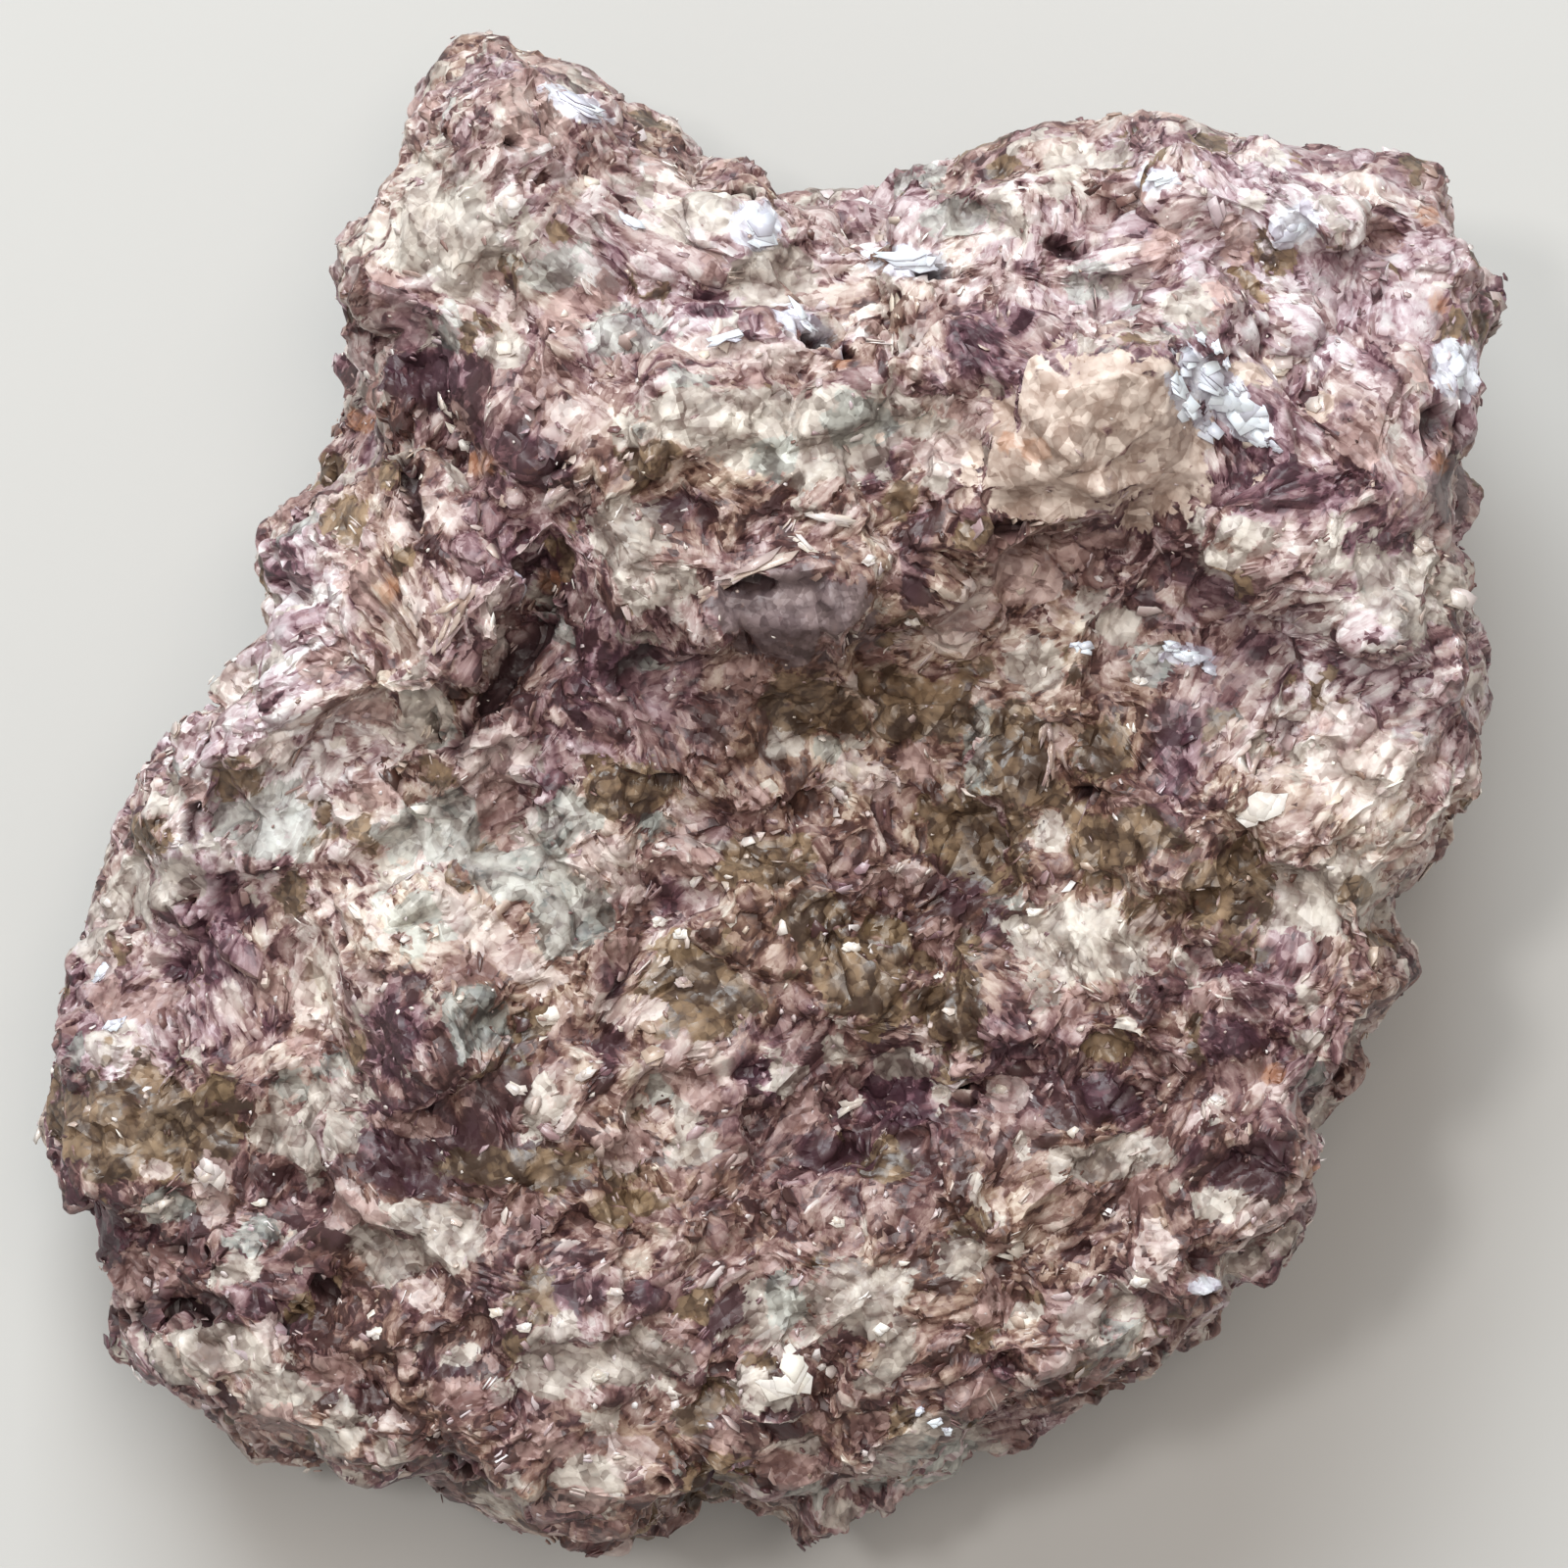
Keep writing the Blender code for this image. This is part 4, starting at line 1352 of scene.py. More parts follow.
@dataclass(frozen=True)
class SkinFinish:
    """The rock: mica bladed along its sheets, with each other mineral's colours where it lies.

    A mineral's two colours are its darkest and its lightest. Four numbers take a value from one
    range to another, and a _part is how much of a thing comes into a sum.
    """

    effects: SharedEffects
    blade_scale: tuple[float, float, float] = (2.4, 0.75, 1.1)
    streak_scale: tuple[float, float, float] = (7.0, 1.0, 2.0)
    layers: tuple[GrainLayer, ...] = (GrainLayer(2900.0, 0.30, 0.08, 0.45),
                                      GrainLayer(1350.0, 0.42, 0.06, 0.50))
    rub_scale: float = 900.0
    rub_detail: float = 4.0
    noise_roughness: float = 0.6
    streak_detail: float = 2.0
    bend: tuple[float, float, float] = (0.35, 0.35, 0.35)
    blade_lean: float = 0.40
    massive_lean: float = 0.3
    massive_from_to: tuple[float, float] = (0.3, 0.8)
    blade_share: float = 0.13
    crack_shade_from_to: tuple[float, float] = (0.35, 0.95)
    crack_shade_share: float = 0.19
    streak_from_to: tuple[float, float] = (0.28, 0.72)
    streak_share: float = 0.11
    dark_from_to: tuple[float, float] = (0.15, 0.17)
    dark_share: float = 0.22
    cloud: tuple[float, float, float, float] = (0.25, 0.75, -0.20, 0.24)
    tone_part: float = 0.60
    rub_jitter: tuple[float, float, float, float] = (0.3, 0.7, -0.3, 0.25)
    blade_jitter: tuple[float, float, float, float] = (0.0, 1.0, -0.32, 0.24)
    border: tuple[float, float] = (0.43, 0.57)
    stain: tuple[float, float, float, float] = (0.3, 0.9, 0.0, 0.5)
    stain_colour: Colour = (0.40, 0.17, 0.08)
    # painted shade in pits and cracks
    hole_shade_part: float = 0.8
    hole_shade_colour: Colour = (0.040, 0.019, 0.021)
    gloss: tuple[float, float, float, float] = (0.4, 0.6, 0.50, 0.40)
    refraction: float = 1.56
    albite: tuple[Colour, Colour] = ((0.18, 0.138, 0.118), (0.66, 0.608, 0.540))
    green: tuple[Colour, Colour] = ((0.060, 0.066, 0.060), (0.52, 0.545, 0.500))
    peach: tuple[Colour, Colour] = ((0.40, 0.285, 0.23), (0.78, 0.66, 0.575))
    quartz: tuple[Colour, Colour] = ((0.055, 0.031, 0.019), (0.30, 0.200, 0.120))
    amber: tuple[Colour, Colour] = ((0.10, 0.060, 0.032), (0.29, 0.195, 0.11))
    pink: tuple[Colour, Colour] = ((0.37, 0.25, 0.24), (0.76, 0.67, 0.63))
    red: tuple[Colour, Colour] = ((0.17, 0.085, 0.075), (0.56, 0.385, 0.35))
    # the silver's pale bluish colour is partly a painted reflection of the window light
    silver: tuple[Colour, Colour] = ((0.34, 0.30, 0.37), (0.80, 0.83, 0.90))
    lens: tuple[Colour, Colour] = ((0.10, 0.068, 0.072), (0.25, 0.185, 0.185))

    def material(self) -> bpy.types.Material:
        """The skin's material.

        Returns:
            The material.
        """
        material, nodes, shader = new_material("lepidolite_rock")
        links = nodes.tree.links
        here = nodes.object_place()
        rubbed = nodes.noise(here, self.rub_scale, self.rub_detail, self.noise_roughness)
        run = nodes.add("ShaderNodeAttribute", attribute_name="grain").outputs["Vector"]
        bent = nodes.vector("MULTIPLY_ADD", rubbed.outputs["Color"], self.bend, run)
        blades = nodes.add("ShaderNodeTexVoronoi", {
            "Vector": nodes.vector("MULTIPLY", bent, self.blade_scale), "Scale": 1.0})
        own = nodes.add("ShaderNodeSeparateColor", {"Color": blades.outputs["Color"]})
        normal = nodes.add("ShaderNodeNewGeometry").outputs["Normal"]
        grains = []
        for layer in self.layers:
            made = self.effects.place_grains(nodes, here, normal, layer.scale, layer.lean)
            normal = made.outputs["Normal"]
            grains.append(made)
        streak = nodes.noise(nodes.vector("MULTIPLY", run, self.streak_scale), 1.0,
                             self.streak_detail, self.noise_roughness).outputs["Fac"]
        # painted shade: each blade of the pattern darker towards its edge, for the dark cracks
        # between blades
        crack_shade = nodes.remap(blades.outputs["Distance"], *self.crack_shade_from_to, 0.0, -self.crack_shade_share)
        tone = nodes.math("ADD", nodes.attribute("tone"),
                          nodes.swing(own.outputs["Red"], self.blade_share))
        parts = [crack_shade, nodes.remap(streak, *self.streak_from_to, -self.streak_share,
                                  self.streak_share)]
        parts += [nodes.swing(made.outputs["Tone"], layer.mica_part)
                  for made, layer in zip(grains, self.layers)]
        parts += [nodes.remap(own.outputs["Green"], *self.dark_from_to, -self.dark_share, 0.0)]
        for part in parts:
            tone = nodes.math("ADD", tone, part)
        mica = nodes.mix(nodes.attribute("warmth"), nodes.ramp(tone, COOL_MICA),
                         nodes.ramp(tone, WARM_MICA))
        colour = self.minerals(nodes, mica, grains, rubbed.outputs["Fac"], own.outputs["Blue"])
        links.new(colour, shader.inputs["Base Color"])
        rough = nodes.remap(nodes.attribute("quartz"), *self.gloss)
        links.new(rough, shader.inputs["Roughness"])
        lean = nodes.remap(nodes.attribute("massive"), *self.massive_from_to, 1.0,
                           self.massive_lean)
        lean = nodes.math("MULTIPLY", lean, self.blade_lean)
        links.new(nodes.leaning(normal, blades.outputs["Color"], lean), shader.inputs["Normal"])
        shader.inputs["IOR"].default_value = self.refraction
        return material

    def minerals(self, nodes: NodeTree, mica: bpy.types.NodeSocket, grains: list[bpy.types.Node],
                 rubbed: bpy.types.NodeSocket, own: bpy.types.NodeSocket) -> bpy.types.NodeSocket:
        """The mica's colour with the other minerals' laid over it.

        Args:
            nodes: the material's builder.
            mica: the mica's colour.
            grains: the nodes of the layers of grains.
            rubbed: a noise that clouds colours and frays borders.
            own: a number of each blade's own.

        Returns:
            The rock's colour.
        """
        light = nodes.remap(rubbed, *self.cloud)
        light = nodes.math("MULTIPLY_ADD", nodes.attribute("tone"), self.tone_part, light)
        # each crystal's own tone and the painted shade in its groove
        light = nodes.math("ADD", light, nodes.attribute("block"))
        # the grains' rubble tone carries painted shade at their rims into the minerals' colours
        for made, layer in zip(grains, self.layers):
            light = nodes.math("MULTIPLY_ADD", made.outputs["Rubble"], layer.mineral_part, light)
        jitter = nodes.math("ADD", nodes.remap(rubbed, *self.rub_jitter),
                            nodes.remap(own, *self.blade_jitter))
        colour = mica
        for kind in TINTED:
            share = nodes.remap(nodes.math("ADD", nodes.attribute(kind.value), jitter),
                                *self.border, 0.0, COVER.get(kind, USUAL_COVER))
            colour = nodes.mix(share, colour, nodes.mix(light, *getattr(self, kind.value)))
        stain = nodes.remap(nodes.math("ADD", nodes.attribute("stain"), jitter), *self.stain)
        colour = nodes.mix(stain, colour, self.stain_colour)
        # painted shade: pits and cracks darkened towards near black
        hole_shade = nodes.math("MULTIPLY", nodes.attribute("hole"), self.hole_shade_part)
        return nodes.mix(hole_shade, colour, self.hole_shade_colour)


# The stone's parts

# the hole's darkening of the mica is painted shade in pits and cracks
TONE_CHANGE = {  # what each mineral's patch adds to the tone of the mica in it
    Mineral.PURPLE: -0.32, Mineral.SILVER: 0.20, Mineral.PINK: 0.12, Mineral.LENS: -0.20,
    Mineral.RED: -0.08, Mineral.ALBITE: 0.12, Mineral.HOLE: -0.3, Mineral.GREEN: 0.08,
    Mineral.QUARTZ: -0.15,
}
# the silver's lighter, cooler mica is partly a painted reflection of the window light
WARMTH_CHANGE = {  # the same for its warmth
    Mineral.PURPLE: -0.35, Mineral.SILVER: -0.6, Mineral.PINK: 0.20, Mineral.STAIN: 0.3,
    Mineral.QUARTZ: 0.3,
}
FLAKES_LEFT = {  # share of the mica flakes that still lie in a patch of each mineral
    Mineral.ALBITE: 0.45, Mineral.GREEN: 0.3, Mineral.PEACH: 0.12, Mineral.QUARTZ: 0.35,
    Mineral.AMBER: 0.2, Mineral.LENS: 0.0, Mineral.HOLE: 0.2, Mineral.SILVER: 0.4,
}
CALM = {  # how much of the relief each mineral's patch loses
    Mineral.LENS: 1.0, Mineral.SILVER: 0.6, Mineral.PEACH: 0.6, Mineral.GREEN: 0.3,
    Mineral.ALBITE: 0.2,
}


@dataclass(frozen=True)
class MicaLook:
    """How light and how warm the mica is, from place to place and from blade to blade.

    Each drift and the cloud are the size and the height of a noise.
    """

    tone: float = 0.565
    tone_drift: tuple[float, float] = (3.6, 0.13)
    tone_cloud: tuple[float, float] = (1.4, 0.07)
    blade_tone: float = 0.13
    crack_shade: tuple[float, float] = (0.22, 0.20)
    dark_blades: float = 0.15
    dark_tone: float = 0.32
    warmth: float = 0.42
    warmth_drift: tuple[float, float] = (5.0, 0.40)
    blade_warmth: float = 0.25

    def light(self, points: Array, blades: Blades, shares: Shares) -> Array:
        """The mica's tone: slow drifts, each blade's own tone, painted shade in the creases at its
        rim, and its patch.

        A part of the blades is dark purple, and the others are pale.

        Args:
            points: places on the stone.
            blades: the blades there.
            shares: the minerals' shares there.

        Returns:
            Numbers, 0 for the darkest mica and 1 for the lightest.
        """
        size, height = self.tone_drift
        tone = self.tone + height * soft_noise(points, size, Salt.TONE_DRIFT)
        size, height = self.tone_cloud
        tone = tone + height * soft_noise(points, size, Salt.TONE_CLOUD)
        reach, depth = self.crack_shade
        tone = tone + self.blade_tone * blades.grains.random(Salt.BLADE_TONE)
        # painted shade: each blade darker towards its border, where the creases between blades lie
        tone = tone - depth * smooth_step(reach, 0.0, blades.border)
        dark = mixed(blades.grains.code, Salt.DARK_BLADE) < self.dark_blades
        tone = tone - self.dark_tone * dark
        return tone + sum(change * shares[kind] for kind, change in TONE_CHANGE.items())

    def warm(self, points: Array, blades: Blades, shares: Shares) -> Array:
        """The mica's warmth, from lilac at 0 to taupe at 1.

        Args:
            points: places on the stone.
            blades: the blades there.
            shares: the minerals' shares there.

        Returns:
            One number for each point.
        """
        size, height = self.warmth_drift
        warmth = self.warmth + height * soft_noise(points, size, Salt.WARMTH_DRIFT)
        warmth = warmth + self.blade_warmth * blades.grains.random(Salt.BLADE_WARMTH)
        return warmth + sum(change * shares[kind] for kind, change in WARMTH_CHANGE.items())


@dataclass
class RockSkin:
    """The stone's surface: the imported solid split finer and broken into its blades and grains.

    crystals holds the size, tilt and lift of two sizes of the massive minerals' grains. A pair
    that ends in _dome or _groove is a reach from the grain's border, as a part of its size, and
    a height. swell and rubble are sizes and heights of noises.
    """

    coarse: Surface
    minerals: MineralMap
    mica: BladeField
    look: MicaLook = MicaLook()
    splits: int = 3
    softening: tuple[float, int] = (0.5, 2)
    lump_share: float = 0.85
    base_fade: tuple[float, float] = (0.05, 1.0)
    base_height: float = 0.03
    blade_lift: float = 0.17
    blade_slope: tuple[float, float, float] = (0.30, 0.10, 0.20)
    blade_dome: tuple[float, float] = (0.22, 0.14)
    dome_middle: float = 0.6
    blades_lost: float = 0.9
    most: float = 0.42
    crystals: tuple[tuple[float, float, float], ...] = ((2.0, 0.14, 0.11), (0.85, 0.18, 0.07))
    crystal_groove: tuple[float, float] = (0.22, 0.12)
    swell: tuple[float, float] = (2.0, 0.22)
    rubble: tuple[float, float] = (0.42, 0.05)
    wear: tuple[float, int] = (0.25, 1)
    hole_depth: float = 0.95
    lens_rise: float = 0.10
    blade_shift: float = 23.0
    block_share: float = 0.20
    block_groove: tuple[float, float] = (0.14, 0.12)
    sharp_angle: float = 34.0
    names: tuple[str, ...] = ("rock_lower_left", "rock_lower_right", "rock_upper_right",
                              "rock_upper_left")

    def __post_init__(self) -> None:
        """Split the solid's mesh, and find each point's minerals and mica blade."""
        smooth = self.coarse
        for _ in range(self.splits):
            smooth = smooth.halved()
        self.smooth = smooth.relaxed(*self.softening)
        self.normals = self.smooth.normals()
        points = self.smooth.points
        self.shares = {kind: self.minerals.share(kind, points, self.normals) for kind in Mineral}
        free = 1 - np.clip(sum(self.shares.values()), 0, 1)
        for kind, inside in self.minerals.lumps(points).items():
            self.shares[kind] = np.maximum(self.shares[kind], self.lump_share * inside * free)
        self.blades = self.mica.blades(points)
        self.bent = self.mica.bent(points)
        self.massive = np.clip(sum(self.shares[kind] for kind in MASSIVE), 0, 1)
        # the broad areas add the mica's own tone and painted light from above
        lighter, warmer = self.minerals.tone_and_painted_light(points, self.normals)
        self.tone = self.look.light(points, self.blades, self.shares) + lighter
        warmth = self.look.warm(points, self.blades, self.shares) + warmer
        self.warmth = np.clip(warmth, 0, 1)
        self.surface = self.shaped()

    def shaped(self) -> Surface:
        """The surface with its relief.

        Returns:
            The finished surface, which keeps the smooth form's normals.
        """
        points = self.smooth.points
        calm = np.max([part * self.shares[kind] for kind, part in CALM.items()], axis=0)
        relief = self.blade_relief() * (1 - self.blades_lost * self.massive)
        relief = relief + self.crystal_relief() * self.massive
        relief = np.clip(relief, -self.most, self.most)
        for number, (size, height) in enumerate((self.swell, self.rubble)):
            relief = relief + height * soft_noise(points, size, Salt.SWELL + number)
        relief = relief * (1 - calm) + self.lens_rise * self.shares[Mineral.LENS]
        relief = relief - self.hole_depth * self.shares[Mineral.HOLE]
        relief = relief * smooth_step(*self.base_fade, points[:, 2])
        moved = points + self.normals * relief[:, None]
        moved = Surface(moved, self.smooth.triangles).relaxed(*self.wear).points
        resting = points[:, 2] < self.base_height
        moved[:, 2] = np.where(resting, 0, np.maximum(moved[:, 2], 0))
        return Surface(moved, self.smooth.triangles, self.normals)

    def blade_relief(self) -> Array:
        """Height of the broken mica over the smooth form.

        Each blade is a plane with its own lift and slope, and is rounded off towards its
        border, height * smoothstep(border / reach).

        Returns:
            One height for each point.
        """
        grains = self.blades.grains
        slope = grains.vectors(Salt.BLADE_SLOPE) * np.array(self.blade_slope)
        reach, height = self.blade_dome
        dome = height * (smooth_step(0, reach, self.blades.border) - self.dome_middle)
        lift = self.blade_lift * grains.random(Salt.BLADE_LIFT)
        return dome + lift + (self.blades.place * slope).sum(axis=1)

    def crystal_relief(self) -> Array:
        """Height of the massive minerals' grains: tilted planes with a groove between them.

        Returns:
            One height for each point.
        """
        points = self.smooth.points
        relief = np.zeros(len(points))
        reach, depth = self.crystal_groove
        for number, (size, tilt, lift) in enumerate(self.crystals):
            grains = grain_cells(points, size, Salt.CRYSTAL + number)
            slope = grains.vectors(Salt.CRYSTAL_TILT + number) * tilt
            relief += lift * grains.random(Salt.CRYSTAL_LIFT + number)
            relief += ((points - grains.seed) * slope).sum(axis=1)
            relief -= depth * size / 2 * smooth_step(reach, 0, grains.border)
        return relief

    def block_tone(self) -> Array:
        """How light each crystal of the massive minerals is, with painted shade in the groove around
        it.

        Returns:
            One number for each point, which is added to the minerals' tone.
        """
        tone = np.zeros(len(self.smooth.points))
        reach, depth = self.block_groove
        for number, (size, _, _) in enumerate(self.crystals):
            grains = grain_cells(self.smooth.points, size, Salt.CRYSTAL + number)
            tone += self.block_share * grains.random(Salt.CRYSTAL_TONE + number)
            # painted shade: darker in the groove between crystals
            tone -= depth * smooth_step(reach, 0.0, grains.border)
        return tone

    def build(self, material: bpy.types.Material) -> None:
        """Write the skin in four parts around the middle, which meet edge to edge.

        Args:
            material: the skin's material.
        """
        triangles = self.surface.triangles
        numbers = {kind.value: self.shares[kind] for kind in (*TINTED, Mineral.STAIN, Mineral.HOLE)}
        numbers |= {"tone": self.tone, "block": self.block_tone(), "massive": self.massive,
                    "warmth": self.warmth}
        centres = self.surface.points[triangles].mean(axis=1)
        order = np.argsort(np.arctan2(centres[:, 1], centres[:, 0]), kind="stable")
        for name, rows in zip(self.names, np.array_split(order, len(self.names))):
            used, joined = np.unique(triangles[rows], return_inverse=True)
            mesh = write_mesh(name, self.surface.points[used], joined.ravel(),
                              3 * np.arange(len(rows)))
            for label, values in numbers.items():
                write_attribute(mesh, label, "POINT", values[used])
            write_vectors(mesh, "grain", "CORNER", self.grain(triangles[rows]))
            mesh.polygons.foreach_set("use_smooth", np.ones(len(rows), bool))
            mesh.set_sharp_from_angle(angle=math.radians(self.sharp_angle))
            add_piece(name, mesh, material)

    def grain(self, triangles: Array) -> Array:
        """Where each triangle's corners lie in the blade of its first corner.

        The place in the first corner's blade is shifted by numbers of the blade's own, so that
        the streaks of two blades differ.

        Args:
            triangles: corner numbers of the whole surface.

        Returns:
            Depth, run and the way across for every corner, one row each.
        """
        first = triangles[:, 0]
        blades = self.blades.rows(first)
        frame = np.stack([blades.axis, blades.along, np.cross(blades.axis, blades.along)], axis=1)
        steps = self.bent[triangles] - self.bent[first][:, None]
        local = (frame[:, None] @ steps[..., None])[..., 0]
        start = blades.place + self.blade_shift * blades.grains.vectors(Salt.BLADE_SHIFT)
        return (start[:, None] + local).reshape(-1, 3)


@dataclass
class MicaFlakes:
    """Mica sheets that stand a little out of the rock, in line with the books they belong to.

    A pair of numbers is a range, except place_tone, which is a mean and a spread.
    """

    skin: RockSkin
    gap: float = 1.6
    lowest: float = 0.5
    seed: int = 11
    stack: tuple[int, int] = (1, 3)
    sheet_gap: float = 0.11
    facing_out: float = 0.5
    leaning: float = 0.14
    thick: tuple[float, float] = (0.03, 0.07)
    half_length: tuple[float, float] = (0.18, 0.66)
    rarity: float = 2.2
    length_part: tuple[float, float] = (0.7, 1.1)
    width_part: tuple[float, float] = (0.38, 0.75)
    shift: float = 0.18
    place_tone: tuple[float, float] = (0.05, 0.09)
    tone_spread: float = 0.10
    warmth_spread: float = 0.1
    lift: tuple[float, float] = (-0.03, 0.06)
    facing_lift: float = 0.08
    irregular: float = 0.32
    names: tuple[str, ...] = ("mica_darker", "mica_lighter")

    def build(self, material: bpy.types.Material) -> None:
        """Grow the flakes and write them, shared out by how light they are.

        Args:
            material: the mica's material.
        """
        draw = np.random.default_rng(self.seed)
        places, normals = self.skin.surface.scattered(self.gap, Salt.SKIN_FLAKES, draw)
        share = self.skin.minerals.share
        shares = {kind: share(kind, places, normals) for kind in Mineral}
        chance = np.where(places[:, 2] < self.lowest, 0.0, 1.0)
        for kind, left in FLAKES_LEFT.items():
            chance = chance * (1 - (1 - left) * shares[kind])
        kept = draw.random(len(places)) < chance
        places, normals = places[kept], normals[kept]
        shares = {kind: values[kept] for kind, values in shares.items()}
        prisms, lift = self.sheets(places, normals, shares, draw)
        corners = prisms.placed(lift, draw, self.irregular)
        order = np.argsort(prisms.tone, kind="stable")
        for name, rows in zip(self.names, np.array_split(order, len(self.names))):
            mesh = prism_mesh(name, corners[rows], prisms.tone[rows], prisms.warmth[rows])
            add_piece(name, mesh, material)

    def sheets(self, places: Array, normals: Array, shares: Shares,
               draw: np.random.Generator) -> tuple[Prisms, Array]:
        """The flakes, one to three at each place.

        Args:
            places: where they lie.
            normals: the smooth form's normals there.
            shares: the minerals' shares there.
            draw: source of the random numbers.

        Returns:
            The flakes, and how far each stands out of the stone.
        """
        count = len(places)
        books = self.skin.mica.blades(places)
        lean = (books.axis * normals).sum(axis=1, keepdims=True)
        axes = books.axis * np.where(lean < 0, -1, 1)
        facing = np.abs(lean[:, 0])
        stack = draw.integers(self.stack[0], self.stack[1] + 1, count)
        row = np.repeat(np.arange(count), stack)
        first = np.cumsum(stack) - stack
        step = np.arange(len(row)) - first[row] - (stack[row] - 1) / 2
        total = len(row)
        tilt = axes[row] + self.facing_out * normals[row]
        tilt = unit(tilt + draw.normal(0, self.leaning, (total, 3)))
        low, high = self.half_length
        half = (low + (high - low) * draw.random(count) ** self.rarity)[row]
        half = half * draw.uniform(*self.length_part, total)
        centre = places[row] + axes[row] * (step * self.sheet_gap)[:, None]
        centre = centre + draw.uniform(-self.shift, self.shift, (total, 3)) * half[:, None]
        look = self.skin.look
        tone = look.light(places, books, shares) + draw.normal(*self.place_tone, count)
        tone = np.clip(tone[row] + draw.normal(0, self.tone_spread, total), 0, 1)
        warmth = look.warm(places, books, shares)[row]
        warmth = np.clip(warmth + draw.normal(0, self.warmth_spread, total), 0, 1)
        thick = draw.uniform(*self.thick, total)
        width = half * draw.uniform(*self.width_part, total)
        lift = draw.uniform(*self.lift, total)
        lift = lift + self.facing_lift * facing[row] * draw.random(total)
        lift = lift + step * self.sheet_gap * facing[row]
        return Prisms(centre, normals[row], tilt, half, width, thick, tone, warmth), lift


@dataclass(frozen=True)
class Sprinkle:
    """Small flakes strewn over the stone. A pair of numbers is a range.

    least is the smallest half length, and longer is the most that chance adds to it.
    """

    gap: float = 1.45
    lowest: float = 0.6
    part: float = 0.3
    least: float = 0.08
    longer: float = 0.32
    rarity: int = 3
    leaning: float = 0.30
    width_part: tuple[float, float] = (0.4, 0.9)
    thick: float = 0.03
    tone: tuple[float, float] = (0.45, 0.90)
    warmth: tuple[float, float] = (0.1, 0.9)
    lift: tuple[float, float] = (0.04, 0.16)
    irregular: float = 0.38

    def strewn(self, surface: Surface, draw: np.random.Generator) -> tuple[Prisms, Array]:
        """The flakes and their corners.

        Args:
            surface: the finished surface.
            draw: source of the random numbers.

        Returns:
            The flakes, and an array of flakes by ten corners by three.
        """
        places, normals = surface.scattered(self.gap, Salt.SPRINKLED_FLAKES, draw)
        kept = (places[:, 2] > self.lowest) & (draw.random(len(places)) < self.part)
        places, normals = places[kept], normals[kept]
        count = len(places)
        half = self.least + self.longer * draw.random(count) ** self.rarity
        axis = unit(normals + draw.normal(0, self.leaning, (count, 3)))
        width = half * draw.uniform(*self.width_part, count)
        tone = draw.uniform(*self.tone, count)
        warmth = draw.uniform(*self.warmth, count)
        flakes = Prisms(places, normals, axis, half, width, np.full(count, self.thick), tone, warmth)
        return flakes, flakes.placed(draw.uniform(*self.lift, count), draw, self.irregular)


@dataclass(frozen=True)
class FlakeShape:
    """How a table's flakes are broken: how irregular they are, and how their sheets lean apart."""

    irregular: float
    sheet_tilt: float


